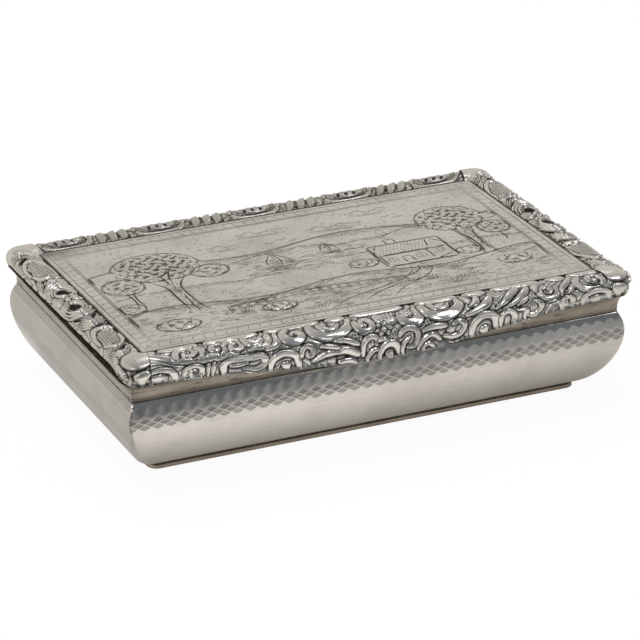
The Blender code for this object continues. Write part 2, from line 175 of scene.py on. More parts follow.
# For the camera the floor is mostly an even white glow; glossy rays see only the painted shadow glow.
glow = place_node(tree, "ShaderNodeEmission", {"Color": blended(mirrored, (1, 1, 1), shadowed_glow_colour)})
mixed = place_node(tree, "ShaderNodeMixShader", {0: seen * 0.95 + mirrored, 1: plain, 2: glow})
place_node(tree, "ShaderNodeOutputMaterial", {0: mixed})
floor.data.materials.append(paper)

for name, low, high, start, end, near, far in (
        ("front_card", (-400, -600, 0.6), (400, -53, 0.6), -0.05, 0.06, (0.125, 0.13, 0.135), (0.33, 0.335, 0.33)),
        ("front_screen", (-420, -300, 1), (420, -300, 110), 0.02, 0.14, (0.12, 0.13, 0.14), (0.33, 0.335, 0.335)),
        ("left_card", (-500, -200, 0.6), (-51, 600, 0.6), -0.06, -0.16, (0.54, 0.52, 0.49), (0.58, 0.56, 0.53))):
    # Each card only glows and is seen only in reflections: a painted reflection, graded along X, the front one with a
    # lighter strip.
    card = flat_card(name, low, high)
    card.visible_camera = card.visible_diffuse = card.visible_shadow = False
    board = bpy.data.materials.new(name + "_glowing_reflection")
    tree = emptied(board)
    easting, northing, _ = coordinates(tree, 3)
    shade = blended(easting.between(start, end), near, far)
    if name == "front_card":
        strip = northing.between(-0.065, -0.07) * northing.between(-0.095, -0.08)
        shade = blended(strip, shade, (0.64, 0.62, 0.59))
    painted_reflection = place_node(tree, "ShaderNodeEmission", {"Color": shade})
    place_node(tree, "ShaderNodeOutputMaterial", {0: painted_reflection})
    card.data.materials.append(board)


def soft_light(name, place, target, size, power, mirrored):
    """A square lamp that faces a target, and that polished metal shows or not."""
    lamp = bpy.data.objects.new(name, bpy.data.lights.new(name, "AREA"))
    lamp.visible_glossy = mirrored
    lamp.data.shape, lamp.data.size, lamp.data.energy = "SQUARE", size * MM, power
    way = np.array(target, float) - np.array(place, float)
    flat = math.hypot(way[0], way[1])
    lamp.location = np.array(place) * MM
    lamp.rotation_euler = (math.atan2(flat, -way[2]), 0, math.atan2(way[1], way[0]) - math.pi / 2)
    scene.collection.objects.link(lamp)


soft_light("over_light", (-100, 150, 700), (0, 0, 10), 560, 4.6, False)
soft_light("side_light", (-330, -420, 560), (0, 0, 10), 110, 0.30, True)
soft_light("back_light", (300, 420, 620), (0, 0, 10), 90, 0.12, True)
soft_light("right_light", (350, -287, 581), (30, -20, 18), 190, 0.55, True)


# The walls: four strips of rolled silver, swelled and turned in at the top as a ledge, mitred and soldered
# at the corners. The front one has an engine-turned band of lens cuts and a scalloped one at the crease;
# the short ones have three reeded lines there. Polished outside, gilt inside.
HALF_LENGTH, HALF_WIDTH = 46.0, 27.8
PLAN_SHIFT = 1.025
CREASE, LEDGE, WALL, WALL_FOOT = 15.8, 1.3, 1.0, 1.3
BULGE, WIDEST, TUCK = 1.15, 11.9, -5.2
BELLY_POWER = 2 / 1.7
TURNS = {"front": 0, "right": 1, "back": 2, "left": 3}
OXIDE, GILDING, SCRATCH_DEPTH = (0.035, 0.032, 0.03), (0.86, 0.60, 0.28), 0.03


def around(steps, corner_steps=9):
    """Shares for a side: halfway round one corner, along the straight part, halfway round the next."""
    first, last = np.linspace(-2, -1, corner_steps)[:-1], np.linspace(1, 2, corner_steps)[1:]
    return np.concatenate([first, np.linspace(-1, 1, steps), last])


def side_grid(side, shares, outset, height, radius):
    """Carry a section along one side of the plan and halfway round the corner at each end.

    A share from -1 to 1 runs along the straight part; beyond that it turns through an eighth of a circle,
    45 degrees for each further 1. The section gives outset, height and corner radius for each of its points.
    """
    across_first = TURNS[side] % 2 == 1
    half, other = (HALF_WIDTH, HALF_LENGTH) if across_first else (HALF_LENGTH, HALF_WIDTH)
    shares = shares[:, None]
    angle = (np.abs(shares) - 1).clip(0) * np.sign(shares) * math.pi / 4
    along = shares.clip(-1, 1) * (half + outset - radius) + radius * np.sin(angle)
    out = other + outset - radius + radius * np.cos(angle)
    quarter = TURNS[side] * math.pi / 2
    x = along * math.cos(quarter) + out * math.sin(quarter)
    y = along * math.sin(quarter) - out * math.cos(quarter)
    return np.stack([x, y + PLAN_SHIFT, np.broadcast_to(height, x.shape)], -1), along


def outward(points):
    """The unit normal of each point of a grid, from the steps to its neighbours both ways."""
    normal = np.cross(np.gradient(points, axis=0), np.gradient(points, axis=1))
    return normal / np.maximum(np.linalg.norm(normal, axis=-1, keepdims=True), 1e-9)


def add_piece(name, corners, faces, body, finish):
    """Make a mesh and add it as a piece that rides a body."""
    mesh = bpy.data.meshes.new(name)
    mesh.from_pydata((corners * MM).tolist(), [], faces)
    mesh.materials.append(finish)
    piece = bpy.data.objects.new(name, mesh)
    scene.collection.objects.link(piece)
    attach(piece, body)
    return piece


def solid_piece(name, grid, body, finish, replaced, marks, corner=50):
    """Skin a grid of sections, each a closed loop, cap it at both ends and put it in a node's place.

    Corners sharper than the angle given stay crisp. Marks are values for each point that the finish reads.
    """
    rows, columns = grid.shape[:2]
    corners, index = grid.reshape(-1, 3), np.arange(rows * columns).reshape(rows, columns)
    after = np.roll(index, -1, 1)
    quads = np.stack([index[:-1], index[1:], after[1:], after[:-1]], -1).reshape(-1, 4)
    first, last = index[0], index[-1, ::-1]
    a, b, c, d = (corners[quads[:, k]] for k in range(4))
    if np.sum(a * (np.cross(b, c) + np.cross(c, d))) < 0:
        quads, first, last = quads[:, ::-1], first[::-1], last[::-1]
    faces = quads.tolist() + [first.tolist(), last.tolist()]
    piece = add_piece(name, corners, faces, body, finish)
    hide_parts(*replaced)
    for mark, values in marks.items():
        layer = piece.data.attributes.new(mark, "FLOAT", "POINT")
        layer.data.foreach_set("value", np.broadcast_to(values, (rows, columns)).astype(np.float32).ravel())
    piece.data.shade_smooth()
    piece.data.set_sharp_from_angle(angle=math.radians(corner))


def silver_finish(name, bright=(0.80, 0.775, 0.735), dull=(0.70, 0.675, 0.64), rough=0.2, worn=0.1,
                  lines=(1, 1, 1), marked=(), pits=0.08):
    """Silver with cloudy wear, fine wiping scratches and dark pits as strong as the share given.

    The mark a piece carries for its hollows darkens it with the oxide colour, which is real oxide in some places and
    painted shade in others. Its "gilded" mark turns it to gilding.
    """
    material = bpy.data.materials.new(name)
    tree = emptied(material)

    def noise(vector, scale, detail, uneven=0.5):
        inputs = {"Vector": vector, "Scale": scale, "Detail": detail, "Roughness": uneven}
        return place_node(tree, "ShaderNodeTexNoise", inputs)

    spot = place_node(tree, "ShaderNodeTexCoord", output=3)
    stretched = place_node(tree, "ShaderNodeMapping", {"Vector": spot, "Scale": lines})
    cloudy, specks = noise(spot, 90, 4, 0.6).between(0.35, 0.7), noise(spot, 900, 3)
    scratches, grains = noise(stretched, 2600, 3), noise(stretched, 2000, 2)
    colour = blended(grains.between(0.56, 0.72) * pits, blended(cloudy, bright, dull), OXIDE)
    roughness = cloudy * worn + scratches.between(0.5, 0.8) * 0.08 + (specks.between(0.55, 0.8) * 0.04 + rough)
    if "gilded" in marked:
        gold = place_node(tree, "ShaderNodeAttribute", output=2, attribute_name="gilded")
        colour = blended(gold, colour, GILDING)
        roughness = roughness + gold * 0.08
    if "hollow" in marked:
        # Darkening by the piece's mark: oxide, and painted shade where the mark stands for shade.
        oxide_shade_specks = place_node(tree, "ShaderNodeAttribute", output=2, attribute_name="hollow") * (0.75 + specks * 0.5)
        oxide_shade_share = oxide_shade_specks.math("MINIMUM", oxide_shade_specks, 1)
        colour = blended(oxide_shade_share, colour, OXIDE)
        roughness = roughness + oxide_shade_share * 0.3
    bump = place_node(tree, "ShaderNodeBump", {
        "Strength": 0.25, "Distance": SCRATCH_DEPTH * MM, "Height": scratches})
    shader = place_node(tree, "ShaderNodeBsdfPrincipled", {
        "Base Color": colour, "Metallic": 1, "Roughness": roughness, "Normal": bump})
    place_node(tree, "ShaderNodeOutputMaterial", {0: shader})
    return material


def refinish(node, finish):
    """Leave a node's mesh as it is, and give it a finish of its own."""
    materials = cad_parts[node].data.materials
    materials.clear()
    materials.append(finish)


def eased(share):
    """Go smoothly from 0 to 1 as the share does."""
    share = np.clip(share, 0, 1)
    return share * share * (3 - 2 * share)


def wall_outline():
    """The outside of a wall from its ledge's edge down to the foot.

    The shoulder leans out by one minus a power of the height left to fall, under an edge that wear has eased,
    and the belly is a quarter of a squared ellipse, whose sine and cosine are raised to a power.
    """
    share = np.linspace(0.93, 0, 54)
    shoulder = BULGE * (1 - share ** 2.2), WIDEST + (CREASE - WIDEST) * share
    stretches = (0, 0.09, 13), (0.09, 0.3, 10), (0.3, 1, 19)
    fall = np.concatenate([np.linspace(start, end, steps)[1:] for start, end, steps in stretches])
    turn = np.arcsin(fall ** (1 / BELLY_POWER))
    belly = TUCK + (BULGE - TUCK) * np.cos(turn).clip(0) ** BELLY_POWER, WIDEST - (WIDEST - WALL_FOOT) * fall
    worn = [-LEDGE, -0.12, -0.03, 0.05, 0.11], [CREASE, CREASE, CREASE - 0.02, CREASE - 0.07, CREASE - 0.15]
    return np.concatenate([worn[0], shoulder[0], belly[0]]), np.concatenate([worn[1], shoulder[1], belly[1]])


def wall_inside():
    """The inside of a wall, from the foot back up to the ledge."""
    fall = np.linspace(1, 0, 14)
    turn = np.arcsin(fall ** (1 / BELLY_POWER))
    outset = TUCK + (BULGE - WALL - TUCK) * np.cos(turn).clip(0) ** BELLY_POWER
    height = WIDEST - (WIDEST - WALL_FOOT - WALL) * fall
    top = np.array([[-0.09, CREASE - 2 * WALL], [BULGE - 2 * WALL, CREASE - WALL], [-LEDGE, CREASE - WALL]])
    return np.concatenate([outset, top[:, 0]]), np.concatenate([height, top[:, 1]])


PITCH, LENS_LOW, LENS_STEP = 2.42, 11.08, 0.635


def lens_band(x, z):
    """Depth of the engine-turned band: four wavy lines, each the mirror of the next, hold rows of lens cuts.

    A cut is as deep as one minus the square of the place between its two lines. Gives the depth, and where
    the band is.
    """
    low, step = LENS_LOW, LENS_STEP
    wave = 0.5 * step * np.sin(2 * math.pi * x / PITCH)
    raised = np.zeros(np.broadcast(x, z).shape)
    for row in range(3):
        sign = 1 - 2 * (row % 2)
        under, over = low + row * step + sign * wave, low + (row + 1) * step - sign * wave
        place = (2 * z - under - over) / np.maximum(over - under, 0.05)
        raised = np.maximum(raised, (1 - place ** 2).clip(0) * np.minimum(1, (over - under) / (0.6 * step)))
    return raised, (z > low - np.abs(wave)) & (z < low + 3 * step + np.abs(wave))


def arch_band(x, z):
    """Height of a row of arches under the crease, each a curve that falls off with the cube of the way out.

    Below its arch a cell is raised, less and less further down.
    """
    out = np.abs((x / PITCH + 0.25) % 1 - 0.5) * 2
    arch = 15.0 - 0.75 * out ** 3
    return np.where(z < arch, np.exp(-(arch - z).clip(0) / 0.4), 0) * (1 - 0.7 * out ** 4)


def reeded_band(z):
    """Depth of three fine lines cut under the crease."""
    cuts = [15.48, 15.1, 14.72]
    return sum(np.exp(-((z - cut) / 0.07) ** 2) for cut in cuts)


def build_wall(side, steps):
    """Carry a wall's section along its side and cut the side's own ornament into the outer face."""
    outset, height = wall_outline()
    outer_count = len(outset)
    outset, height = (np.concatenate(pair) for pair in zip((outset, height), wall_inside()))
    radius = 0.4 + 1.4 * ((CREASE - height) / (CREASE - WALL_FOOT)).clip(0)
    grid, along = side_grid(side, around(steps), outset, height, radius)
    outer = grid[:, :outer_count]
    z, x = outer[..., 2], along[:, :outer_count]
    if side == "front":
        raised, band = lens_band(x, z)
        between_bands = ((z - 13.2) / 0.5).clip(0, 1) * ((15.0 - z) / 0.3).clip(0, 1)
        cut = 0.05 * raised * band
        notch = 0.035 - 0.035 * arch_band(x, z) - 0.02 * between_bands * np.cos(2 * math.pi * (x / PITCH + 0.25))
        # The lens cells are darkened with the oxide colour as painted shade, so that the lines between them read
        # bright.
        hollow = band * eased((raised - 0.15) / 0.5) * 0.42
    elif side == "back":
        cut, notch, hollow = 0 * z, 0 * z, 0 * z
    else:
        cut, notch = 0.05 * reeded_band(z), 0 * z
        hollow = reeded_band(z).clip(0, 1) * 0.55
    normals = outward(outer)
    normals *= np.sign(np.sum(normals[:, 30] * (outer[:, 30] - [0, PLAN_SHIFT, 10]), axis=-1).sum())
    outer -= normals * (cut + notch)[..., None]
    full = np.zeros(grid.shape[:2])
    full[:, :outer_count] = hollow
    gilded = (np.arange(grid.shape[1]) >= outer_count).astype(float)
    solid_piece(side + "_wall_strip", grid, "box_body", wall_silver, [side + "_wall"],
                {"hollow": full, "gilded": gilded})


wall_silver = silver_finish("wall_silver", rough=0.17, worn=0.07, lines=(0.12, 0.12, 1),
                            marked=("hollow", "gilded"))
build_wall("front", 790)
for side in ("back", "left", "right"):
    build_wall(side, 60)


# The bottom: a flat plate let in between the walls and soldered, silver under and gilt on top.
def rounded_plan(outset, radius, corner_steps=12):
    """The rounded rectangle that lies a set distance outside the crease, as one loop of points."""
    angle = np.linspace(0, math.pi / 2, corner_steps)
    quarters = [(1, 1, 0), (-1, 1, math.pi / 2), (-1, -1, math.pi), (1, -1, 1.5 * math.pi)]
    x = np.concatenate([a * (HALF_LENGTH + outset - radius) + radius * np.cos(angle + t) for a, b, t in quarters])
    y = np.concatenate([b * (HALF_WIDTH + outset - radius) + radius * np.sin(angle + t) for a, b, t in quarters])
    return x, y + PLAN_SHIFT


def dished_plate(levels):
    """Stack loops of the plan: each level gives an outset, a radius and a height."""
    return np.stack([np.stack([*rounded_plan(o, r), np.full(48, z)], -1) for o, r, z in levels])


plate_levels = [(-20, 1.5, 1.32), (-5.3, 1.8, 1.3), (-5.05, 1.9, 1.5),
                (-5.05, 1.9, 2.1), (-5.3, 1.8, 2.3), (-20, 1.5, 2.34)]
solid_piece("bottom_plate", dished_plate(plate_levels), "box_body",
            silver_finish("bottom_silver", rough=0.24, worn=0.14, marked=("gilded",)), ["base_plate"],
            {"gilded": np.array([0, 0, 0, 1, 1, 1])[:, None]})


# The foot: a square wire, its top edge eased, that stands back from the tuck of the walls. Soldered on.
FOOT_LOOP = np.array([
    [-5.26, 0], [-5.2, 0.06], [-5.2, 0.5], [-5.24, 0.62], [-5.34, 0.72], [-5.5, 0.76], [-5.55, 0.84], [-5.55, 1.32],
    [-7.5, 1.32], [-7.6, 1.2], [-7.6, 0.06], [-7.54, 0]])
# The foot's warm brown colour is a painted reflection.
foot_silver = silver_finish("foot_silver", bright=(0.70, 0.60, 0.50), dull=(0.56, 0.46, 0.38), rough=0.22, worn=0.12,
                            marked=("hollow",))
for side in TURNS:
    radius = np.where(FOOT_LOOP[:, 0] > -7, 1.8, 0.4)
    grid, _ = side_grid(side, around(24), FOOT_LOOP[:, 0], FOOT_LOOP[:, 1], radius)
    # Painted shadow on the top step under the walls' tuck, and a little darkening elsewhere.
    shadow = np.where((FOOT_LOOP[:, 1] > 0.7) & (FOOT_LOOP[:, 0] > -6), 0.8, 0.1)
    solid_piece("foot_wire_" + side, grid, "box_body", foot_silver, ["foot_" + side], {"hollow": shadow})


# The neck: a hollow moulding between the crease and the rim, soldered to the ledge; gilt on its inner face.
NECK_IN, NECK_FLARE, RIM = -1.2, 1.7, 19.9


def neck_outline():
    """Down the inner face, out along the ledge, and up an arc of a circle to the lip."""
    rise = RIM - 0.3 - (CREASE + 0.6)
    bend = (rise ** 2 + NECK_FLARE ** 2) / (2 * NECK_FLARE)
    up = np.linspace(0, rise, 24)
    inner, lip = [NECK_IN + 0.08, NECK_IN, NECK_IN, 0], [NECK_FLARE, NECK_FLARE - 0.08]
    outset = np.concatenate([inner, bend - np.sqrt(bend ** 2 - up ** 2), lip])
    inner, lip = [RIM, RIM - 0.08, CREASE - 0.02, CREASE - 0.02], [RIM - 0.08, RIM]
    height = np.concatenate([inner, CREASE + 0.6 + up, lip])
    return outset, height


# The front neck is a darker brown than the short sides: a painted reflection of the lid's dark underside.
NECK_SHADED_COLOURS = {"front": ((0.41, 0.365, 0.31), (0.28, 0.245, 0.205)), "left": ((0.66, 0.62, 0.55), (0.56, 0.52, 0.46))}
NECK_SHADED_COLOURS["right"] = NECK_SHADED_COLOURS["left"]
for side, (bright, dull) in NECK_SHADED_COLOURS.items():
    neck_silver = silver_finish("neck_silver_" + side, bright, dull, worn=0.08, lines=(0.2, 0.2, 1),
                                marked=("hollow", "gilded"), pits=0.6)
    outset, height = neck_outline()
    grid, _ = side_grid(side, around(40, 5), outset, height, 0.4 + 2.5 * (outset / NECK_FLARE).clip(0, 1))
    inside = (np.arange(len(outset)) < 3).astype(float)
    # Painted shade along the crease and, on the short sides, painted shade darkest at the rim under the lid's edge.
    neck_shade = np.exp(-((height - CREASE) / 0.35) ** 2) * (1 - inside) * 0.8
    if side != "front":
        neck_shade = np.maximum(neck_shade, np.exp(-((height - RIM) / 1.4) ** 2) * (1 - inside))
    solid_piece("neck_strip_" + side, grid, "box_body", neck_silver, ["neck_" + side],
                {"gilded": inside, "hollow": neck_shade})
refinish("neck_back", silver_finish("neck_back_silver", worn=0.08, lines=(0.2, 0.2, 1)))


# The hinge: seven lengths of drawn tube on one pin, four soldered to the neck and three to the lid, with a
# plug in each end. The strip over them is soldered to the lid.
HINGE_Y, HINGE_Z = HALF_WIDTH + 1.0 + PLAN_SHIFT, 18.1
hinge_silver = silver_finish("hinge_silver", rough=0.22, worn=0.1, lines=(0.1, 1, 1), marked=("hollow",))


# Each point of a tube's section: which end it belongs to, its distance from the axis, and how far it is set in.
tube = np.array([[-1, 0.66, 0], [-1, 1.03, 0], [-1, 1.11, 0.04], [-1, 1.15, 0.12], [-1, 1.15, 0.5], [1, 1.15, -0.5],
                 [1, 1.15, -0.12], [1, 1.11, -0.04], [1, 1.03, 0], [1, 0.66, 0]])
end, distance, inset = tube.T
angle = np.linspace(0, 2 * math.pi, 65)[:, None]
y, z = HINGE_Y + distance * np.cos(angle), HINGE_Z + distance * np.sin(angle)
for body, prefix, count in (("box_body", "body_knuckle_", 4), ("lid", "lid_knuckle_", 3)):
    for number in range(1, count + 1):
        node = prefix + str(number)
        low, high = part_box(node)
        along = (low.x + high.x) / 2 / MM + end * (high.x - low.x) / 2 / MM + inset
        grid = np.stack([np.broadcast_to(along, y.shape), y, z], -1)
        solid_piece(node + "_tube", grid, body, hinge_silver, [node],
                    {"hollow": 0.7 * (np.abs(inset) < 0.1)})
for node in ("hinge_pin", "hinge_plug_left", "hinge_plug_right", "lid_bearer"):
    refinish(node, silver_finish(node + "_silver", rough=0.24, lines=(0.1, 1, 1)))


# The lid's plate closes the box and carries everything else on it; three strips under it enter the rim.
# All are gilt, the plate's gilding a little rubbed; the strips' darker gilding is painted shade for the gap under the
# lid.
for node in ("lid_plate", "flange_front", "flange_left", "flange_right"):
    bright, dull = (0.46, 0.29, 0.14), (0.30, 0.18, 0.09)
    if node == "lid_plate":
        bright, dull = (0.86, 0.62, 0.30), (0.80, 0.54, 0.25)
    refinish(node, silver_finish(node + "_gilding", bright, dull, rough=0.22, worn=0.12))


# The borders: four castings of scrolls, leaves and shells, soldered round the lid, their hollows blackened
# with oxide and painted shade. The front one hangs over the neck and swells into the thumbpiece; the short
# ones turn the corners.
OVERHANG, FRONT_OVERHANG, BORDER_IN = 2.0, 2.9, -3.5
SEAT, CREST, PLATE_UNDER = 21.3, 22.7, 20.2
SEAM_OUT, SEAM_IN = HALF_LENGTH - 2.6, HALF_LENGTH - 3.5 - 0.4 - 0.3
CARVING_DEPTH = 0.72
AJAR = math.radians(-1.2)


def seam(outset):
    """How far out a seam between two castings stands: it slants from the panel's edge to the outer one."""
    return SEAM_IN + (SEAM_OUT - SEAM_IN) * (outset - BORDER_IN) / (FRONT_OVERHANG - BORDER_IN)


def ajar(points):
    """Turn points of the shut lid about the hinge to where the lid stands."""
    y, z = points[..., 1] - HINGE_Y, points[..., 2] - HINGE_Z
    return np.stack([
        points[..., 0], HINGE_Y + y * math.cos(AJAR) - z * math.sin(AJAR),
        HINGE_Z + y * math.sin(AJAR) + z * math.cos(AJAR)], -1)


def border_sections(outset, drop, hang, steps):
    """One section for each station: over the crest from the panel's edge, down the face, back underneath.

    The crest is half a squared ellipse, low on the panel side and wide on the outer one; below its widest
    line the face leans in a little. Gives outset and height, and each point's share of the way over.
    """
    outset, drop, hang = (np.asarray(value, float)[:, None] for value in (outset, drop, hang))
    bottom = PLATE_UNDER - drop
    middle, power = (OVERHANG + BORDER_IN) / 2, 2 / 2.3
    widest = SEAT - (SEAT - bottom) * 0.4

    def over_crest(turn, outset, widest):
        side = np.cos(turn)
        reach = np.where(side > 0, outset - middle, middle - BORDER_IN)
        foot = np.where(side > 0, widest, SEAT)
        return (middle + np.sign(side) * np.abs(side) ** power * reach,
                foot + (CREST - foot) * np.sin(turn).clip(0) ** power)

    trial = np.linspace(math.pi, 0, 500)
    o, z = over_crest(trial, outset.mean(), widest.mean())
    length = np.concatenate([[0], np.cumsum(np.hypot(np.diff(o), np.diff(z)))])
    face = (widest - bottom).mean()
    way = np.linspace(0, length[-1] + face, steps)
    o, z = over_crest(np.interp(way, length, trial)[None], outset, widest)
    down = ((way - length[-1]) / face).clip(0, 1)[None]
    o, z = o - (0.1 + 0.4 * hang) * down, z + (bottom - z) * down
    low_step, high_step = 1.1 + 0.9 * 0.6, 1.1 + 0.9 * 0.3
    clear = eased(hang / 0.3)
    under_o = np.concatenate([low_step + (2.05 - low_step) * clear, high_step + (2.05 - high_step) * clear,
                              1.1 + 0 * hang, 1.1 + 0 * hang, BORDER_IN + 0 * hang], 1)
    under_z = np.concatenate([bottom, PLATE_UNDER + 0 * hang, PLATE_UNDER + 0.01 + 0 * hang, SEAT + 0 * hang,
                              SEAT + 0 * hang], 1)
    return np.concatenate([o, under_o], 1), np.concatenate([z, under_z], 1), way / way[-1], way[-1]


def curved(line):
    """Draw a smooth curve through points: a cubic between two of them that also heeds the ones beyond."""
    line = np.array(line, float)
    if len(line) == 1:
        return line
    ends = np.vstack([2 * line[0] - line[1], line, 2 * line[-1] - line[-2]])
    place = np.linspace(0, len(line) - 1, 14 * len(line))
    leg = np.minimum(place.astype(int), len(line) - 2)
    u = (place - leg)[:, None]
    p, q, r, s = (ends[leg + k] for k in range(4))
    return 0.5 * (2 * q + (r - p) * u + (2 * p - 5 * q + 4 * r - s) * u ** 2 + (3 * q - p - 3 * r + s) * u ** 3)


def stroke(relief, along, across, line, start, end, top=1.0, channel=0.0, gap=0.3):
    """Raise one rounded stroke on the relief and cut a gap round it.

    A smooth curve is drawn through the points. Where the distance from it over the stroke's half-width, which
    goes from start to end and narrows to both tips, is under 1, the height is the root of 1 less its square. It
    leans to one side as a leaf's lobe does, and a channel hollows its back.
    """
    line = curved(line)
    reach = max(start, end) + gap
    rows = np.flatnonzero((along > line[:, 0].min() - reach) & (along < line[:, 0].max() + reach))
    columns = np.flatnonzero((across > line[:, 1].min() - reach) & (across < line[:, 1].max() + reach))
    if not len(rows) or not len(columns):
        return
    window = np.ix_(rows, columns)
    half, way = np.linspace(start, end, len(line)), np.zeros((1, 2))
    if len(line) > 1:
        half = half * (0.3 + 0.7 * np.sin(np.linspace(0.2, math.pi - 0.2, len(line))) ** 0.5)
        way = np.gradient(line, axis=0)
        way /= np.linalg.norm(way, axis=1, keepdims=True)
    dx, dy = along[rows][:, None, None] - line[:, 0], across[columns][None, :, None] - line[:, 1]
    away = np.hypot(dx, dy)
    place = np.argmin(away / half, axis=2)
    dx, dy, away = (np.take_along_axis(value, place[..., None], 2)[..., 0] for value in (dx, dy, away))
    ratio = away / half[place]
    lean = (way[place, 0] * dy - way[place, 1] * dx) / half[place]
    inside = (0.3 + 0.7 * np.sqrt((1 - ratio ** 2).clip(0))) * (1 - 0.3 * lean) / 1.08
    inside -= channel * (1 - ((ratio - 0.15) / 0.6) ** 2).clip(0)
    outside = 0.95 * eased((away - half[place]) / gap - 0.15) + 0.02
    relief[window] = np.where(ratio < 1, top * inside, relief[window] * outside)


def spiral(x, t, wide, tall, start, turns, steps=14):
    """A spiral's points: the radius shrinks evenly to a fifth while the angle goes round."""
    share = np.linspace(0, 1, steps)
    angle = math.radians(start) + 2 * math.pi * turns * share
    size = 1 - 0.8 * share
    return np.stack([x + wide * size * np.cos(angle), t + tall * size * np.sin(angle)], -1).tolist()


def fan(x, t, wide, tall, start, end, count, width):
    """Strokes for ribs one inside the other round a centre, each an arc of an ellipse between two angles."""
    angle = np.radians(np.linspace(start, end, 7))
    ribs = [np.stack([x + wide * k * np.cos(angle), t + tall * k * np.sin(angle)], -1)
            for k in np.linspace(1, 0.36, count)]
    return [(width, 0.8 * width, 1, 0, rib.tolist()) for rib in ribs]


def diaper(relief, along, across, x, t, wide, tall):
    """Fill an oval with small pyramids, the product of two waves at right angles."""
    s, c = along[:, None] - x, across[None] - t
    dots = 0.42 + 0.42 * np.cos(2 * math.pi * (s + c) / 1.15) * np.cos(2 * math.pi * (s - c) / 1.15)
    inside = (s / wide) ** 2 + (c / tall) ** 2 < 1
    relief[inside] = dots[inside]


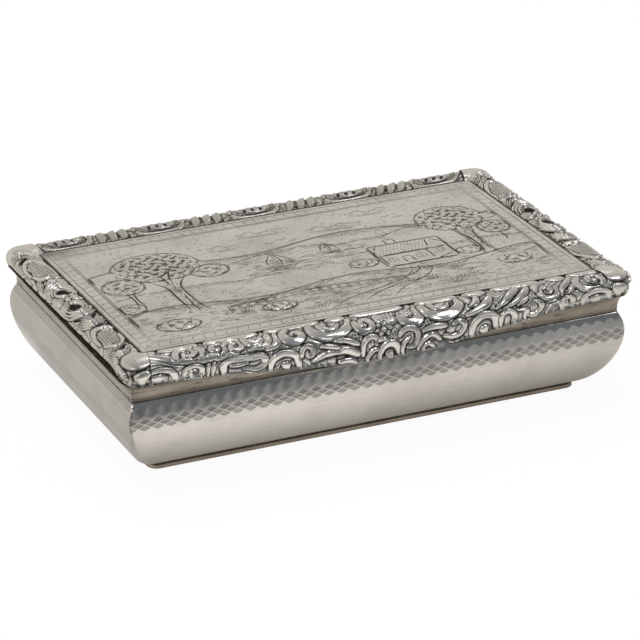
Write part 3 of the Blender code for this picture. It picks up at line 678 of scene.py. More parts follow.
# Each stroke of the front border: half-widths at its two ends, height, channel, and points as millimetres from
# the middle and tenths of the way from panel to lower edge.
FRONT_STROKES = [
    # broad lobes on the inner slope
    (1.3, 1.3, .8, 0, [(-43.6, 1.6), (-42.6, 1.2)]), (1.5, 1.5, .85, 0, [(-40.6, 1.5), (-37.5, 1.0), (-35.2, 1.6)]),
    (1.6, 1.5, .9, 0, [(-32, 1.8), (-28, 1.2), (-24, 1.6)]), (1.5, 1.5, .9, 0, [(-20.6, 1.6), (-17, 1.0), (-12.2, 1.5)]),
    (1.3, 1.3, .9, 0, [(-9, 1.6), (-7.2, 1.5)]), (1.6, 1.6, .9, 0, [(-4, 1.6), (0, 1.1), (3.8, 1.6)]),
    (1.5, 1.5, .9, 0, [(8.6, 1.7), (11, 1.1), (14.6, 1.6)]), (1.5, 1.5, .9, 0, [(18, 1.7), (20.2, 1.4)]),
    (1.5, 1.5, .9, 0, [(23.6, 1.6), (26.5, 1.2), (30.8, 1.7)]), (1.4, 1.4, .85, 0, [(34.6, 1.7), (36, 1.5)]),
    (1.5, 1.4, .85, 0, [(39, 1.5), (41.4, 1.2), (43.6, 1.7)]),
    # upper scrolls and leaves, left of the middle
    (.5, 1.1, 1, 0, [(-44, 3.0), (-41.5, 4.3), (-38.5, 5.6), (-35, 6.1), (-31.5, 6.2), (-28, 6.0)]),
    (.75, .35, 1, .25, spiral(-36.6, 4.1, 2.3, 2.0, 150, 1.2)),
    (.55, .3, .95, 0, [(-34.9, 3.0), (-33.9, 4.2), (-34.2, 5.4), (-35.4, 5.9)]),
    (.6, .35, 1, .2, spiral(-31.2, 4.3, 1.8, 1.7, 60, -1.15)), (.65, .35, 1, .2, spiral(-27.9, 4.4, 2.0, 1.8, 200, 1.2)),
    (.45, .8, 1, 0, [(-26.3, 2.9), (-25.6, 4.2), (-24.3, 4.9), (-22.9, 4.2)]),
    (.4, .75, 1, 0, [(-25.6, 6.0), (-24.2, 5.7), (-22.6, 5.6), (-21.6, 4.6), (-21.7, 3.2)]),
    (.5, .7, 1, 0, [(-22.4, 6.3), (-20.9, 5.9), (-20.1, 4.8), (-20.2, 3.4)]),
    (.8, .4, 1, .25, spiral(-16.9, 4.3, 2.4, 2.0, 240, -1.1)),
    (.8, .75, 1, .3, [(-13.9, 3.0), (-13.6, 4.6), (-11.6, 5.7), (-9.2, 5.6), (-7.0, 4.6), (-6.3, 3.1)]),
    (.5, .3, .9, 0, [(-12.2, 3.2), (-11.4, 4.4), (-9.6, 4.6), (-8.4, 3.7)]),
    (.6, .3, 1, .2, spiral(-3.9, 4.6, 1.9, 1.75, 200, -1.35)),
    (.6, .4, 1, 0, [(-1.4, 3.4), (-1.1, 4.6), (.6, 5.1), (2.4, 4.5), (3.2, 3.4)]),
    # central shell and the thumbpiece's scrolls
    (.8, .8, 1, .3, [(2.7, 4.6), (3.5, 5.8), (5.1, 6.0), (6.3, 4.9), (6.5, 3.2)]),
    (.45, .3, .95, 0, [(3.6, 3.6), (4.4, 4.5), (5.3, 4.2)]),
    (.8, .75, 1, .3, [(7.5, 3.2), (7.9, 4.8), (9.9, 5.8), (12.4, 5.6), (14.4, 4.4), (14.8, 3.1)]),
    (.5, .3, .9, 0, [(9.3, 3.0), (10, 4.3), (11.8, 4.4), (12.8, 3.4)]),
    (.45, .25, 1, 0, [(-.9, 6.1), (-1.7, 5.2)]), (.45, .25, 1, 0, [(-.9, 6.1), (-.2, 5.1)]),
    (.45, .25, 1, 0, [(-.9, 6.1), (.6, 6.0)]), (.45, .25, 1, 0, [(-.9, 6.1), (-2.4, 6.2)]),
    (.45, .25, 1, 0, [(-.9, 6.1), (-.2, 6.9)]), (.45, .25, 1, 0, [(-.9, 6.1), (-1.8, 6.9)]), (.4, .4, 1, 0, [(-.9, 6.1)]),
    # right of the middle
    (.5, .8, 1, 0, [(14.9, 6.6), (17.2, 6.1), (19, 5.4), (20.4, 4.2)]),
    (.4, .6, .95, 0, [(16.2, 5.1), (17.6, 4.5), (18.4, 3.2)]),
    (.35, .7, 1, 0, [(20.6, 6.6), (22.6, 5.7), (24.4, 4.4), (26.4, 3.1)]),
    (.35, .7, 1, 0, [(22, 7.0), (24.4, 6.2), (26.4, 5.1), (28.2, 3.6)]),
    (.3, .45, 1, 0, [(24.8, 6.9), (26, 6.4), (27, 5.9)]),
    (.65, .3, 1, .2, spiral(31.2, 5.3, 2.2, 1.9, -20, 1.35)), (.5, .6, 1, 0, [(29.2, 4.9), (29.8, 3.5), (31.6, 2.9)]),
    (.35, .65, 1, 0, [(33.6, 6.8), (34.2, 5.4), (35.8, 4.2), (37.1, 3.0)]),
    (.35, .6, 1, 0, [(35, 6.7), (35.9, 5.8), (37, 4.9)]),
    (.8, .6, 1, .3, [(43.4, 5.6), (41.9, 6.8), (39.6, 6.9), (37.8, 6.0), (37.5, 4.3), (38.7, 3.2)]),
    (.6, .35, 1, .2, spiral(40.9, 4.6, 1.9, 1.7, 60, -1.1)),
    # lower row
    (.6, .55, 1, .2, [(-44, 7.4), (-41.8, 7.0), (-39.9, 7.6), (-39.1, 9.2), (-39.4, 10.2)]),
    (1.1, .8, .75, 0, [(-42.8, 8.9), (-41.2, 9.1)]),
    (.6, .28, 1, .2, spiral(-35.5, 8.8, 1.9, 1.75, 170, 1.4)),
    (.35, .3, 1, 0, [(-33.0, 7.3), (-33.2, 9.8)]), (.35, .3, 1, 0, [(-32.0, 7.2), (-32.4, 9.8)]),
    (.75, .45, 1, .3, [(-30.3, 9.6), (-30.2, 8.0), (-28.4, 7.3), (-25.6, 7.4), (-23.4, 7.3),
                       (-22.9, 8.6), (-24.4, 9.4), (-26.6, 9.2)]),
    (.45, .3, .8, 0, [(-29.0, 8.6), (-27.4, 8.6), (-26, 8.3)]),
    (.6, .6, 1, .2, [(-21.9, 9.9), (-21.4, 8.3), (-19.4, 7.4), (-17.3, 8.1), (-16.6, 9.9)]),
    (.7, .5, .85, 0, [(-19.3, 9.4), (-18.6, 9.5)]),
    (.5, .3, 1, .2, spiral(-15.0, 7.8, 1.3, 1.3, 160, 1.1)),
    (.4, .7, 1, 0, [(-14.2, 9.2), (-11.5, 8.4), (-8.4, 8.2), (-5.9, 9.0)]),
    (.3, .55, 1, 0, [(-10.2, 6.7), (-8.2, 6.8), (-6.1, 7.6)]),
    (.35, .5, .95, 0, [(-12.8, 7.2), (-11.4, 7.3), (-9.6, 7.7)]), (.3, .3, .9, 0, [(-9.4, 9.7), (-7.6, 9.6), (-6.2, 9.9)]),
    (.5, .35, 1, .2, [(-4.9, 9.2), (-4.9, 7.7), (-3.7, 6.9), (-2.5, 7.2), (-2.6, 8.2)]),
    (.4, .25, 1, 0, [(-4.2, 9.8), (-3.2, 8.9), (-2.0, 8.8)]),
    (.4, .3, 1, 0, [(-2.1, 7.7), (-1.2, 7.5), (-.6, 8.0)]),
    (.5, .5, 1, .15, [(-1.9, 9.8), (-1.2, 8.7), (0, 8.3), (1.2, 8.7), (1.9, 9.8)]), (.6, .6, .9, 0, [(0, 9.7)]),
    (.5, .3, 1, .25, [(1.8, 7.4), (2.6, 6.8), (3.8, 6.6), (4.9, 7.1), (5.2, 8.2), (4.6, 9.2), (3.4, 9.2)]),
    (.4, .3, .9, 0, [(2.5, 9.9), (2.6, 8.8), (3.6, 8.0)]), (.35, .6, 1, 0, [(6.2, 7.5), (8.4, 7.2), (10.4, 7.4)]),
    (.35, .4, 1, 0, [(5.4, 9.7), (6.4, 8.7), (8, 8.3), (9.6, 9.2)]),
    (.3, .3, .9, 0, [(6.2, 9.9), (7.2, 9.4), (8.4, 9.8)]),
    (.45, .4, 1, .2, [(10.4, 8.9), (12, 9.3), (13.6, 9.1), (14.3, 8.0), (13.3, 7.1), (12, 7.4)]),
    (.65, .65, 1, .25, [(15.8, 9.9), (16.2, 8.2), (18.1, 7.2), (20.1, 7.9), (20.7, 9.9)]),
    (.6, .6, .9, 0, [(17.8, 9.5), (18.7, 9.5)]),
    (.5, .5, 1, .2, [(21.6, 9.6), (21.7, 8.0), (23.1, 7.6), (24.2, 8.7), (24.0, 9.9)]),
    (.35, .5, 1, 0, [(24.6, 7.7), (26.4, 8.2), (26.4, 9.6)]),
    (.6, .4, 1, .25, [(27.2, 9.4), (28.6, 9.4), (29.5, 8.4), (29.2, 7.2), (28.1, 6.6)]),
    (.3, .35, .95, 0, [(30.6, 9.8), (31.4, 8.6), (32.9, 8.2)]), (.3, .3, .9, 0, [(31, 7.6), (32.4, 7.5)]),
    (.55, .35, 1, .2, spiral(34.9, 8.7, 1.5, 1.6, 100, 1.3)),
    (.65, .6, 1, .25, [(38.0, 9.9), (38.4, 8.2), (40.5, 7.5), (42.6, 8.2), (43.2, 9.9)]),
    (1.0, .7, .8, 0, [(40, 9.4), (41.2, 9.4)])]
FRONT_DIAPERS = [(-6.0, 6.5, 1.2, .9), (7.6, 6.5, 1.7, .75), (-33.2, 6.9, .8, .5), (24.2, 5.2, .6, .5)]


def carve(along, across, strokes, diapers=()):
    """Stamp a border's strokes in turn on a ground of slanting leaf ribs, and soften the result a little.

    A rib is as high as the root of one less the square of the place across it, and the slant goes to and fro.
    """
    scale = across[-1] / 10
    s, t = along[:, None], across[None]
    rib = ((s + 0.8 * np.sin(s / 4.2) * t + 0.4 * np.sin(t * 1.7)) / 1.35) % 1 * 2 - 1
    relief = 0.05 + 0.52 * np.sqrt((1 - rib ** 2).clip(0))
    for x, t, wide, tall in diapers:
        diaper(relief, along, across, x, t * scale, wide, tall)
    for start, end, top, channel, line in strokes:
        stroke(relief, along, across, [(x, t * scale) for x, t in line], 1.3 * start, 1.3 * end, top, channel)
    for axis in (0, 1):
        relief = (2 * relief + np.roll(relief, 1, axis) + np.roll(relief, -1, axis)) / 4
    return relief


def cast_border(name, place, along, outset, drop, hang, strokes, diapers, steps, node, finish, plain=0.0):
    """Shape a border from its sections, sink its ground along the normals and turn it with the lid.

    The place function puts a station and an outset on the plan.
    """
    o, z, over, length = border_sections(outset, drop, hang, steps)
    x, y = place(o)
    grid = ajar(np.stack([x, y, z], -1))
    outer = grid[:, :steps]
    relief = carve(along, over * length, strokes, diapers)
    relief = np.maximum(relief, np.broadcast_to(np.asarray(plain, float), (len(along),))[:, None])
    deep = CARVING_DEPTH * np.minimum(1, (1 - over) / 0.05 + 0.35)
    normals = outward(outer)
    inwards = np.sign(np.sum(normals[:, steps // 2, 2]))
    outer -= normals * inwards * ((1 - relief) * deep)[..., None]
    # The lower the relief, the darker the casting: oxide in the recesses and painted shade where they would be
    # occluded. Both end stations, at the seams, are dark.
    hollow = np.zeros(grid.shape[:2])
    hollow[:, :steps] = 1 - eased((relief - 0.1) / 0.45)
    hollow[[0, -1]] = 1
    solid_piece(name, grid, "lid", finish, [node], {"hollow": hollow}, 80)


cast_silver = silver_finish("cast_silver", bright=(0.94, 0.92, 0.88), dull=(0.85, 0.825, 0.785), rough=0.17, worn=0.07,
                            marked=("hollow",))

steps = 96
shares = np.linspace(-1, 1, 724)
station = shares * SEAM_OUT
swell = np.cos(math.pi * np.minimum(0.5, np.abs(station) / 84)) ** 2


def front_place(outset):
    return shares[:, None] * seam(outset), -(HALF_WIDTH + outset) + PLAN_SHIFT


cast_border("front_casting", front_place, station, FRONT_OVERHANG + 1.3 * swell, 1.9 + 2.5 * swell, np.ones(724),
            FRONT_STROKES, FRONT_DIAPERS, steps, "border_front", cast_silver)

# The back border repeats ovals held between scrolls, with slanting stems between them.
BACK_STROKES = []
for middle in (-37.6, -19.2, 0, 19.2, 37.6):
    BACK_STROKES += [
        (.6, .6, 1, .2, [(middle - 4.6, 3), (middle - 3.6, 1.6), (middle, 1.0), (middle + 3.4, 1.8), (middle + 4.4, 3.4)]),
        (.6, .6, 1, .2, [(middle - 4.5, 6.4), (middle - 3.4, 8.2), (middle, 9.0), (middle + 3.4, 8.4), (middle + 4.6, 7.0)]),
        (1.6, 1.6, .95, 0, [(middle - 2.0, 5), (middle, 5.1), (middle + 2.2, 5)]), (.5, .5, 1, 0, [(middle + 4.9, 4.9)]),
        (.5, .5, 1, 0, [(middle - 4.9, 4.9)]),
        *((.14, .1, 0, 0, [(middle + x, 3.6), (middle + x + .5, 6.2)]) for x in (-1.9, -.3, 1.3))]
for middle in (-28.4, -9.6, 9.6, 28.4):
    BACK_STROKES += [
        (.7, .5, 1, .2, [(middle - 2.9, 1.6), (middle - 2.2, 4.4), (middle - 1.4, 8.6)]),
        (.7, .5, 1, .2, [(middle - .6, 1.4), (middle + .2, 5), (middle + 1.4, 8.8)]),
        (.7, .5, 1, .2, [(middle + 1.6, 1.8), (middle + 2.2, 5), (middle + 3, 8.6)]), (.5, .5, 1, 0, [(middle - 3.2, 8.2)]),
        (.5, .5, 1, 0, [(middle + 3.4, 1.6)])]

steps = 66
shares = np.linspace(-1, 1, 500)
station = shares * SEAM_OUT
still = np.zeros(500)


def back_place(outset):
    return shares[:, None] * seam(outset), HALF_WIDTH + outset + PLAN_SHIFT


# Its silver is painted darker than the other castings' as painted shade; its higher roughness is from rubbing.
back_silver_shaded_darker = silver_finish("rubbed_and_shaded_cast_silver", bright=(0.78, 0.75, 0.70), dull=(0.66, 0.63, 0.58), rough=0.25,
                              worn=0.07, marked=("hollow",))
cast_border("back_casting", back_place, station, OVERHANG + still, still, still, BACK_STROKES, [], steps,
            "border_back", back_silver_shaded_darker)

# A short border's strokes run from the back corner, at -32, to the front one, at 32.
SIDE_STROKES = [
    *fan(-23.6, 4.6, 4.2, 4.4, 100, 260, 5, .34), *fan(-9.4, 4.4, 4.0, 4.4, 95, 265, 5, .32),
    *fan(-5.2, 4.7, 4.2, 4.6, 95, 265, 4, .36), *fan(1.6, 5.0, 4.2, 4.6, -85, 85, 4, .36),
    *fan(7.4, 4.4, 4.0, 4.4, -85, 85, 5, .32), *fan(21.6, 4.6, 4.2, 4.4, -80, 80, 5, .34),
    (.62, .5, 1, .2, [(-15.2, 1.2), (-18.4, .9), (-21, 2.6), (-21.3, 5.4), (-19.2, 7.8), (-16, 8.0)]),
    (.55, .45, 1, .1, [(-13.6, 1.4), (-12.6, 3.6), (-13, 6.2), (-15, 7.4)]),
    (.62, .5, 1, .2, [(13.4, 1.3), (12.1, 3.6), (12.6, 6.4), (15, 8.0), (17.6, 8.0)]),
    (.55, .45, 1, .1, [(16.4, 1.1), (19.2, 1.8), (20.4, 4.4), (19.2, 7.2)]),
    (.55, .5, 1, 0, spiral(-5.2, 4.7, 1.75, 1.9, 0, 0.9)), (.55, .5, 1, 0, spiral(1.6, 5.0, 1.75, 1.9, 180, 0.9)),
    (.9, .8, 0, 0, [(-5.5, 4.6), (-4.8, 5.0)]), (.9, .8, 0, 0, [(1.3, 4.8), (2.0, 5.2)]),
    (.2, .14, 0, 0, [(-22.9, 5.0), (-21.8, 7.8)]), (.2, .14, 0, 0, [(-12.1, 2.8), (-11.4, 6.9)]),
    (.2, .14, 0, 0, [(10.7, 2.0), (11.4, 6.0)]), (.22, .14, 0, 0, [(21.4, 2.4), (22.3, 6.2)]),
    (.2, .14, 0, 0, [(5.6, 1.8), (6.9, 3.4)]), (.2, .14, 0, 0, [(5.4, 8.2), (6.8, 6.9)]),
    (.2, .14, 0, 0, [(-9.2, 1.8), (-10.3, 3.4)]), (.2, .14, 0, 0, [(-9.0, 8.2), (-10.2, 6.9)]),
    (.5, .4, 1, 0, [(-1.8, 1.6), (-2.2, 3.4)]), (.5, .4, 1, 0, [(-1.6, 8.2), (-1.9, 6.6)]), (.45, .45, 1, 0, [(-1.9, 5.0)]),
    (.5, .9, 1, 0, [(24.2, 2.2), (26.2, 2.0)]), (.45, .8, 1, 0, [(23.8, 7.6), (25.8, 8.2)]),
    (.7, .5, .95, 0, [(26.6, 8.4), (27.8, 9.0)]), (.7, .6, .95, 0, [(29.4, 9.0), (30.8, 8.6)]),
    (2.2, 2.2, 1, 0, [(26.4, 4.2), (28.4, 4.0), (30.6, 4.4)])]
SIDE_DIAPERS = [(-17, 4.3, 2.7, 2.1), (16.2, 4.5, 2.7, 2.1)]

steps = 66
back_run, arc, length = 12, 44, 420
turn = np.linspace(0, math.pi / 2, arc)
seam_share = np.linspace(1, 0, back_run)
straight = np.linspace(-1, 1, length)


def short_side_place(sign):
    """The casting starts at its seam on the back, turns the corner, runs forwards and turns again to the front."""
    def place(outset):
        radius = np.maximum(0.4, 3.2 + outset - OVERHANG)
        parts = np.split(outset, np.cumsum([back_run, arc, length, arc]), axis=0)
        radii = np.split(radius, np.cumsum([back_run, arc, length, arc]), axis=0)
        xs, ys = [], []
        for number, (o, r) in enumerate(zip(parts, radii)):
            centre_x, centre_y = HALF_LENGTH + o - r, HALF_WIDTH + o - r
            if number == 0:
                x, y = centre_x + (seam(o) - centre_x) * seam_share[:, None], HALF_WIDTH + o
            elif number == 1:
                x, y = centre_x + r * np.sin(turn)[:, None], centre_y + r * np.cos(turn)[:, None]
            elif number == 2:
                x, y = HALF_LENGTH + o, -straight[:, None] * centre_y
            elif number == 3:
                x, y = centre_x + r * np.cos(turn)[:, None], -centre_y - r * np.sin(turn)[:, None]
            else:
                x, y = centre_x + (seam(o) - centre_x) * seam_share[::-1][:, None], -(HALF_WIDTH + o)
            xs.append(x)
            ys.append(y)
        return sign * np.concatenate(xs), np.concatenate(ys) + PLAN_SHIFT
    return place


reach = HALF_WIDTH - 1.2
station = np.concatenate([
    -reach - 3.2 - 1.4 * seam_share, -reach - 3.2 * (1 - turn / turn[-1]), straight * reach,
    reach + 3.2 * turn / turn[-1], reach + 3.2 + 1.4 * seam_share[::-1]])
turning = np.concatenate([
    np.zeros(back_run + arc), 4 / 9 * (1 - (1 - straight) * reach / 4.5).clip(0), 4 / 9 + 5 / 9 * turn / turn[-1],
    np.ones(back_run)])
hang = eased((turning - 0.35) / 0.55)
plain = np.concatenate([np.ones(back_run + arc), np.zeros(length + arc + back_run)])
plain[back_run + arc:-back_run - arc] = eased((-straight * reach - (reach - 1.5)) / 1.2)
satin_silver = silver_finish("satin_cast_silver", bright=(0.96, 0.93, 0.87), dull=(0.86, 0.83, 0.77), rough=0.25,
                             worn=0.06, marked=("hollow",))
for sign, side in ((-1, "left"), (1, "right")):
    cast_border(side + "_casting", short_side_place(sign), station, OVERHANG + 0.9 * eased(turning / 0.9),
                1.9 * hang, hang, SIDE_STROKES, SIDE_DIAPERS, steps, "border_" + side, satin_silver, plain)


# The panel: a thin plate with a low chased landscape of trees, a lake and a cottage inside a ticked frame. It is
# satin from handling, darkened in its dips by oxide and painted shade, with painted shadow along its edges and
# painted shade in its back left corner.
PANEL_TOP, PANEL_X, PANEL_Y = 22.0, HALF_LENGTH - 3.1, HALF_WIDTH - 3.1
# Tree crowns, bushes and rocks: middle, half-width, half-depth and height.
CROWNS = np.array([
    (-26.5, 9.5, 8.0, 6.2, .34), (-35.0, 3.2, 3.6, 3.4, .26), (-18.3, 4.2, 3.4, 2.6, .26), (30.6, 8.6, 6.2, 5.6, .32),
    (36.3, 1.6, 2.9, 2.8, .24), (27.2, -6.6, 2.2, 1.5, .22), (7.6, -4.6, 2.6, 1.7, .2), (-37.2, -6.5, 2.4, 2.0, .22),
    (33.0, -13.6, 3.2, 1.9, .3), (-13.5, -15.8, 3.0, 1.7, .28), (-32.5, -16.2, 3.8, 2.2, .3)])


def chasing(x, y):
    """Height of the chased work over the panel's flat face.

    Hills are long swells, each crown is the root of an ellipse's depth times a lumpy product of waves, and
    the cottage is a block with soft edges.
    """
    far = 0.17 * eased((9.4 + 1.5 * np.sin(x / 6.5) - y) / 0.9) * eased((y - 5.5) / 3)
    near = 0.2 * eased((-9.4 + 1.3 * np.sin(x / 5.5 + 1) - y) / 0.8) * eased((y + 17) / 6)
    near *= 0.8 + 0.2 * np.sin(x / 2.2 + y)
    height = far + near
    for a, b, wide, tall, rise in CROWNS:
        inside = (1 - ((x - a) / wide) ** 2 - ((y - b) / tall) ** 2).clip(0)
        lumps = 0.72 + 0.28 * np.cos(1.9 * (x - a) + np.sin(1.7 * y)) * np.cos(2.3 * (y - b) + np.sin(1.3 * x))
        height = np.maximum(height, rise * np.sqrt(inside) * lumps)
    cottage = eased((6.9 - np.abs(x - 17.8)) / 0.5) * eased((4.9 - np.abs(y + 3.2)) / 0.5)
    cottage *= 0.55 + 0.45 * eased((y + 3.2) / 0.4) * (1 - 0.5 * eased((y + 3) / 5))
    trunks = np.maximum(np.exp(-((x + 26.9 - 0.04 * (y + 4) ** 2 / 3) / 1.1) ** 2) * eased((4 - y) / 2) * eased((y + 13) / 2),
                        np.exp(-((x - 30.4) / 0.8) ** 2) * eased((5 - y) / 2) * eased((y + 10) / 2))
    framed = eased((PANEL_X - 3.8 - np.abs(x)) / 0.5) * eased((PANEL_Y - 3.8 - np.abs(y)) / 0.5)
    return framed * np.maximum(height, 0.2 * np.maximum(cottage, trunks)) - 0.03


sheet_x, sheet_y = np.meshgrid(np.linspace(-PANEL_X, PANEL_X, 390), np.linspace(-PANEL_Y, PANEL_Y, 228), indexing="ij")
top = chasing(sheet_x, sheet_y)
smooth = top
for pass_number in range(6):
    smooth = (smooth + np.roll(smooth, 1, 0) + np.roll(smooth, -1, 0) + np.roll(smooth, 1, 1) + np.roll(smooth, -1, 1)) / 5
# Darkening in the dips beside the raised forms: oxide, and painted shade.
panel_darkening = eased((smooth - top - 0.002) / 0.016) * 0.8
edges = np.minimum(PANEL_X - np.abs(sheet_x), PANEL_Y - np.abs(sheet_y))
# Painted shadow along the panel's edges, where the borders stand over it.
panel_darkening = np.maximum(panel_darkening, 0.95 * eased(1 - (edges - 0.25) / 0.4))
# Painted shade in the back left corner.
corner_shade = 0.62 * np.exp(-((sheet_x + PANEL_X) / 6.5) ** 2 - ((PANEL_Y - sheet_y) / 3.2) ** 2)
panel_darkening = np.maximum(panel_darkening, corner_shade)
upper = np.stack([sheet_x, sheet_y + PLAN_SHIFT, PANEL_TOP + top], -1)
lower = np.stack([sheet_x, sheet_y + PLAN_SHIFT, np.full(top.shape, SEAT)], -1)[:, ::-1][:, ::12]
panel_silver = silver_finish("panel_silver", bright=(0.97, 0.94, 0.88), dull=(0.80, 0.77, 0.72), rough=0.23, worn=0.12,
                             lines=(0.6, 1, 1), marked=("hollow",), pits=0.45)
solid_piece("landscape_panel", ajar(np.concatenate([upper, lower], 1)), "lid", panel_silver,
            ["scene_panel"], {"hollow": np.concatenate([panel_darkening, 0 * lower[..., 0]], 1)})


# The engraving on the panel: cuts of a burin, each drawn out to a point at both ends and filled with oxide.
# They draw the landscape, and short ones shade it.
def engrave(name, groups):
    """Lay a thin closed strip along every line, three-sided in section, and join them in one mesh.

    A group is an array of lines with as many points each, and the width of its cuts.
    """
    corners, quads, caps, total = [], [], [], 0
    for lines, width in groups:
        count = lines.shape[1]
        step = np.gradient(lines, axis=1)
        step /= np.maximum(np.linalg.norm(step, axis=-1, keepdims=True), 1e-6)
        aside = np.stack([-step[..., 1], step[..., 0]], -1)
        half = 0.5 * width * (0.15 + 0.85 * np.sin(math.pi * np.linspace(0, 1, count)) ** 0.6)[:, None]
        plan = np.stack([lines + aside * half, lines, lines - aside * half], 2)
        z = PANEL_TOP + chasing(plan[..., 0], plan[..., 1]) + np.array([-0.03, 0.02, -0.03])
        corners.append(np.stack([plan[..., 0], plan[..., 1] + PLAN_SHIFT, z], -1).reshape(-1, 3))
        line_start = total + 3 * count * np.arange(len(lines))
        first, j = line_start[:, None, None] + 3 * np.arange(count - 1)[:, None], np.arange(3)
        after = (j + 1) % 3
        quads.append(np.stack([first + j, first + after, first + 3 + after, first + 3 + j], -1).reshape(-1, 4))
        caps.append(np.stack([line_start, line_start + 2, line_start + 1], -1))
        caps.append(line_start[:, None] + 3 * (count - 1) + j)
        total += 3 * count * len(lines)
    faces = np.concatenate(quads).tolist() + np.concatenate(caps).tolist()
    oxide = silver_finish(name + "_oxide", bright=(0.085, 0.075, 0.065), dull=(0.04, 0.036, 0.032), rough=0.4)
    add_piece(name, ajar(np.concatenate(corners)), faces, "lid", oxide)


def dashes(x, y, length, angle, bend=0.0):
    """Short lines, each given by its middle, length and angle; a bend bows them to one side."""
    x, y, length, angle = (value[:, None] for value in np.broadcast_arrays(x, y, length, angle))
    share = np.linspace(-0.5, 0.5, 4)
    bow = bend * length * (1 - 4 * share ** 2)
    return np.stack([x + length * share * np.cos(angle) - bow * np.sin(angle),
                     y + length * share * np.sin(angle) + bow * np.cos(angle)], -1)


def segments(*ends, count=6):
    """Straight lines from the places of their two ends."""
    ends = np.array(ends, float).reshape(-1, 2, 2)
    share = np.linspace(0, 1, count)[:, None]
    return ends[:, :1] * (1 - share) + ends[:, 1:] * share


def curves(*lines, count=16):
    """Smooth lines through points, their places spread evenly along each."""
    spaced = []
    for line in lines:
        line = curved(line)
        way = np.concatenate([[0], np.cumsum(np.linalg.norm(np.diff(line, axis=0), axis=1))])
        even = np.linspace(0, way[-1], count)
        spaced.append(np.stack([np.interp(even, way, line[:, k]) for k in range(2)], -1))
    return np.array(spaced)


def leafage(a, b, wide, tall, size):
    """Leafy loops spread over an oval by turning a fixed angle from one to the next; each faces outwards."""
    count = int(1.9 * wide * tall / size ** 2)
    k = np.arange(count) + 0.5
    radius, angle = np.sqrt(k / count) * 0.98, k * 2.39996
    x, y = a + wide * radius * np.cos(angle), b + tall * radius * np.sin(angle)
    facing = np.arctan2(y - b - 0.2 * tall, x - a)[:, None]
    swing = np.linspace(-1.7, 1.7, 12)
    lobes = size * (0.42 + 0.16 * np.abs(np.sin(2.2 * swing + k[:, None])))
    return np.stack([x[:, None] + lobes * np.cos(facing + swing), y[:, None] + 0.9 * lobes * np.sin(facing + swing)], -1)


def tufts(x, y, size, blades=7):
    """Grass: blades that fan out from each place and droop, the outer ones more."""
    lean = np.linspace(-1, 1, blades)[None, :, None]
    share = np.linspace(0, 1, 6)
    x, y, size = (value[:, None, None] for value in np.broadcast_arrays(x, y, size))
    tall = size * (1 - 0.35 * lean ** 2)
    blade = np.stack([x + lean * size * (0.35 + 0.6 * share ** 2),
                      y + tall * (share - 0.3 * np.abs(lean) * share ** 2)], -1)
    return blade.reshape(-1, 6, 2)


def outside_of(lines, grow=1.0):
    """Leave out the lines that start inside a crown or the cottage."""
    x, y = lines[:, 0, 0], lines[:, 0, 1]
    inside = (np.abs(x - 17.8) < 7.4) & (np.abs(y + 2.6) < 5.6)
    for a, b, wide, tall, _ in CROWNS:
        inside |= ((x - a) / (grow * wide)) ** 2 + ((y - b) / (grow * tall)) ** 2 < 1
    return lines[~inside]


chance = np.random.default_rng(11)


def anywhere(count, low_x, high_x, low_y, high_y):
    return chance.uniform(low_x, high_x, count), chance.uniform(low_y, high_y, count)


def ridge(x, level, swing, pace, start):
    return level + swing * np.sin(x / pace + start) + 0.3 * swing * np.sin(2.7 * x / pace)


# the frame: three lines all round, with ticks between the outer two
frame_lines, frame_ticks = [], []
for inset in (1.3, 3.3, 3.7):
    u, v = PANEL_X - inset, PANEL_Y - inset
    frame_lines += [[-u, -v, u, -v], [u, -v, u, v], [u, v, -u, v], [-u, v, -u, -v]]
for u, v, turned in ((PANEL_X - 2.3, PANEL_Y - 1.7, 0), (PANEL_Y - 2.3, PANEL_X - 1.7, 1)):
    place = np.arange(-u, u, 2.05)
    for flip in (-1, 1):
        tick = dashes(place, flip * (v - 0.6), 1.7 + 0 * place, math.pi / 2 + 0.25 * flip, 0.12)
        frame_ticks.append(tick[..., ::-1] if turned else tick)

# the sky: clouds of scallops and a flight of birds
clouds = []
for a, b, count in ((-7, 16.4, 6), (5.5, 13.6, 7), (15, 17.6, 5), (-14.5, 12.6, 4)):
    k = np.arange(count)[:, None]
    swing = np.linspace(2.9, 0.2, 12)
    size = 0.95 + 0.35 * np.sin(k * 2.1)
    clouds.append(np.stack([a + 1.55 * k + size * np.cos(swing), b + 0.3 * np.sin(k * 1.7) + 0.9 * size * np.sin(swing)], -1))
    clouds.append(np.stack([a + 1.55 * k + 0.5 * size * np.cos(swing), b - 0.5 + 0.5 * size * np.sin(swing)], -1)[::2])
    cloud_foot = segments([a - 1, b - 0.7, a + 1.4 * count, b - 0.8], [a + 1, b - 1.2, a + 1.1 * count, b - 1.25], count=12)
    clouds.append(cloud_foot)
bird_x, bird_y = np.array([-3.5, -1.2, 1.0, 10.6, 12.4, 20.5, 22.6]), np.array([11.2, 12.0, 11.0, 10.8, 11.8, 14.2, 13.2])
birds = np.concatenate([dashes(bird_x - 0.5, bird_y, 1.1, -0.3, 0.25), dashes(bird_x + 0.5, bird_y, 1.1, 0.3, 0.25)])

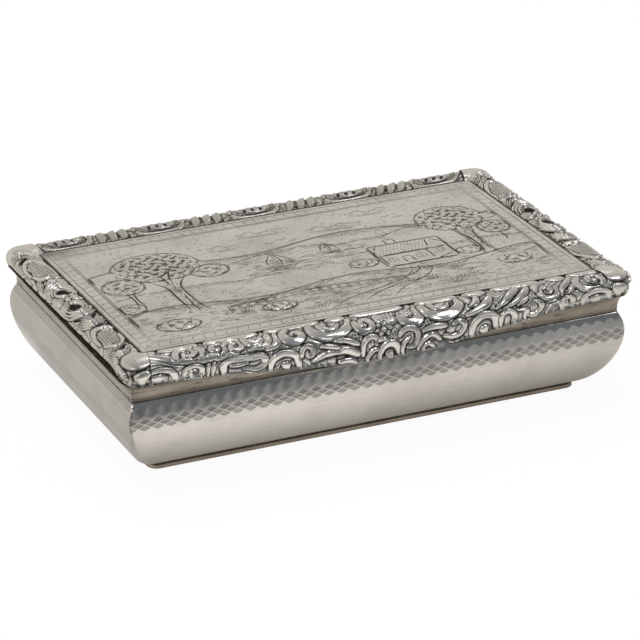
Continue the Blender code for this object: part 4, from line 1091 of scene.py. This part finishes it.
# the hills: broken ridge lines, with slanting strokes down their shaded sides
hills = []
shading = []
for low, high, level, swing, pace, start, strokes in (
        (-18, 39, 8.9, 1.3, 6.5, 0.0, 1.7), (-16, 38, 6.6, 0.8, 4.1, 2.0, 1.1), (-39, -9, -1.6, 0.7, 5.2, 0.6, 1.2),
        (22, 39, -2.6, 0.6, 4.4, 1.2, 1.2), (-39, 39, -10.2, 1.3, 5.5, 1.0, 1.5)):
    x = np.arange(low, high, 2.3)[:, None] + np.linspace(0, 2.15, 6)
    hills.append(np.stack([x, ridge(x, level, swing, pace, start)], -1))
    x = np.arange(low, high, 0.42)
    y = ridge(x, level, swing, pace, start)
    falling = np.gradient(y) < 0.02
    length = strokes * chance.uniform(0.6, 1.15, x.shape)
    shading.append(dashes(x + 0.3, y - 0.25 - length / 2, length, -1.1 + 0 * x, 0.1)[falling])

# the lake: level ripples, two sailing boats and reeds on the near bank
x, y = anywhere(150, -13, 12, -1.6, 5.6)
ripples = dashes(x, y, chance.uniform(0.7, 2.6, x.shape), 0 * x, 0.04)
boats, rigging = [], []
for a, b, size in ((-6.0, 0.6, 1.8), (4.6, 3.4, 1.2)):
    hull = [[(-1.7, 0.1), (-1.1, -0.6), (0.9, -0.65), (1.9, 0.25)], [(-1.7, 0.1), (0, -0.05), (1.9, 0.25)],
            [(-1.3, -0.25), (0, -0.38), (1.5, -0.15)], [(0.15, 0), (0.5, 1.6), (0.2, 3.3)],
            [(0.2, 3.3), (1.3, 1.8), (1.5, 0.5)],
            [(-0.1, 3.0), (-0.9, 1.7), (-1.1, 0.5)]]
    boats.append(curves(*hull) * size + np.array([a, b]))
    mast = segments([0.05, 0, 0.05, 3.6], [0.2, 0.5, 1.5, 0.5], [-1.1, 0.5, -0.1, 0.5],
                    [-0.9, 1.4, -0.1, 1.5], [0.6, 1.5, 1.3, 1.4])
    rigging.append(mast * size + np.array([a, b]))
x = np.arange(-12, 8, 0.55)
reeds = dashes(x, -2.2 + 0.5 * np.sin(x), 1.1 + 0.4 * np.sin(x * 3.1), math.pi / 2 + 0.3 * np.sin(x * 5.3), 0.08)

# the cottage: walls, thatch laid in courses, a chimney with smoke, a door and windows with glazing bars
cottage = segments(
    [13.2, -6.6, 19.6, -6.6], [13.2, -6.6, 13.2, -3.0], [19.6, -6.6, 19.6, -3.0], [12.5, -3.0, 20.1, -3.0],
    [12.5, -3.0, 14.0, 0.4], [14.0, 0.4, 20.9, 0.4], [20.1, -3.0, 20.9, 0.4], [19.6, -6.6, 22.8, -5.5],
    [22.8, -5.5, 22.8, -2.5], [20.9, 0.4, 23.3, -2.7], [15.9, 0.4, 15.9, 1.9], [17.2, 0.4, 17.2, 1.9],
    [15.7, 1.9, 17.4, 1.9], [15.7, -6.6, 15.7, -4.3], [16.9, -6.6, 16.9, -4.3], [15.7, -4.3, 16.9, -4.3])
panes = segments(
    [13.8, -5.4, 14.9, -5.4], [13.8, -4.2, 14.9, -4.2], [13.8, -5.4, 13.8, -4.2], [14.9, -5.4, 14.9, -4.2],
    [14.35, -5.4, 14.35, -4.2],
    [17.7, -5.4, 18.9, -5.4], [17.7, -4.2, 18.9, -4.2], [17.7, -5.4, 17.7, -4.2], [18.9, -5.4, 18.9, -4.2],
    [18.3, -5.4, 18.3, -4.2],
    [20.8, -4.9, 21.7, -4.6], [20.8, -3.7, 21.7, -3.4], [20.8, -4.9, 20.8, -3.7], [21.7, -4.6, 21.7, -3.4],
    [16.6, -5.5, 16.6, -5.3])
row, column = (value.ravel() for value in np.meshgrid(np.arange(4), np.arange(15)))
thatch = dashes(12.9 + 0.34 * row + column * 0.5 + 0.1, -2.55 + row * 0.82, 0.62, 1.2, 0.05)
cottage, panes, thatch = (lines * 1.4 - np.array([7.12, -1.2]) for lines in (cottage, panes, thatch))
smoke = curves([(16.0, 4.2), (15.2, 5.2), (16.4, 6.2), (15.4, 7.6), (16.8, 9.0)],
               [(16.5, 4.2), (16.0, 5.3), (17.2, 6.4), (16.6, 7.8)])

# the trees: trunks with bark and boughs, under leafy crowns
trunks = curves(
    [(-29.2, -12.6), (-28.2, -10.6), (-28.2, -5), (-28.3, 0), (-30.6, 4.6)],
    [(-24.0, -13.0), (-25.4, -10.8), (-25.8, -5), (-25.5, 0), (-22.9, 4.4)],
    [(-27.4, 1), (-27.3, 4), (-28.4, 7)], [(-26.5, 1), (-26.0, 4.4), (-24.8, 7.4)],
    [(-26.8, -12.6), (-26.9, -9), (-26.6, -4)],
    [(29.1, -9.4), (29.8, -6.6), (29.8, -2), (28.6, 3.4)], [(32.0, -9.6), (31.1, -6.8), (31.2, -2), (32.6, 3.6)],
    [(30.4, 0), (30.6, 3), (30.1, 6)],
    [(-35.6, -6), (-35.3, -3), (-35.5, 0.4)], [(-34.4, -6.2), (-34.7, -3), (-34.3, 0.4)],
    [(36.0, -5), (36.2, -3), (36.0, -0.8)])
x, y = anywhere(70, -28, -26, -11.5, 2.5)
bark = [dashes(x + 0.5, y, 1.1, 1.45 + 0.2 * np.sin(y), 0.12)]
x, y = anywhere(36, 30.0, 31.0, -8.6, 3)
bark.append(dashes(x, y, 0.9, 1.5, 0.12))
leaves = [leafage(a, b, wide, tall, 1.15 if wide > 3 else 0.85) for a, b, wide, tall, _ in CROWNS]

# the fence and the lane that winds to the door
x = np.arange(-22, 12.5, 1.75)
y = -13.6 + 1.3 * np.sin((x + 22) / 9) + 0.02 * (x + 22)
posts = np.concatenate([dashes(x, y, 3.4, 1.55, 0.02), dashes(x + 0.4, y - 0.1, 3.1, 1.55, 0.02)])
rails = [np.stack([x[:-1, None] + np.linspace(0.3, 1.75, 4),
                   y[:-1, None] + lift + np.linspace(0, 1, 4) * np.diff(y)[:, None]], -1)
         for lift in (-0.7, 0.5, 0.8)]
lane = curves([(-6, -20.6), (0, -17.4), (9.4, -14.6), (13.6, -11.6), (14.8, -8.2)],
              [(6, -20.6), (9.6, -17.2), (15.6, -14.0), (17.6, -11.2), (16.6, -8.2)],
              [(1, -19.6), (5, -17.2), (10.4, -15)], [(12, -13.4), (15, -11.6), (16, -9)], count=24)

# the ground: level dashes, a meadow of short blades, and grass that grows taller forwards
x, y = anywhere(560, -38.5, 38.5, -20.6, -8.6)
ground = dashes(x, y, chance.uniform(0.5, 2.0, x.shape), chance.uniform(-0.12, 0.12, x.shape), 0.05)
x, y = anywhere(230, -38.5, 38.5, -8.4, -1.8)
meadow = dashes(x, y, chance.uniform(0.3, 0.9, x.shape), chance.uniform(0.9, 2.2, x.shape), 0.1)[np.abs(x + 0.5) > 13]
x, y = anywhere(56, -38, 38, -20.4, -12.2)
grass = tufts(x, y, 1.3 + 0.11 * (-12 - y), 5)

engrave("engraved_outlines", [
    (segments(*frame_lines, count=40), 0.42), (trunks, 0.84), (np.concatenate(boats), 0.58), (cottage, 0.7), (lane, 0.6),
    (outside_of(np.concatenate(hills)), 0.62), (np.concatenate(clouds), 0.4), (smoke, 0.38),
    (np.concatenate(leaves), 0.48), (outside_of(grass), 0.3)])
engrave("engraved_shading", [
    (np.concatenate(frame_ticks), 0.28), (birds, 0.44), (outside_of(np.concatenate(shading), 1.05), 0.28),
    (outside_of(ripples), 0.32),
    (np.concatenate(rigging), 0.32), (outside_of(reeds), 0.3), (panes, 0.3), (thatch, 0.26), (np.concatenate(bark), 0.28),
    (outside_of(posts, 0.9), 0.5), (outside_of(np.concatenate(rails), 0.9), 0.44), (outside_of(ground, 1.05), 0.3),
    (outside_of(meadow), 0.26)])
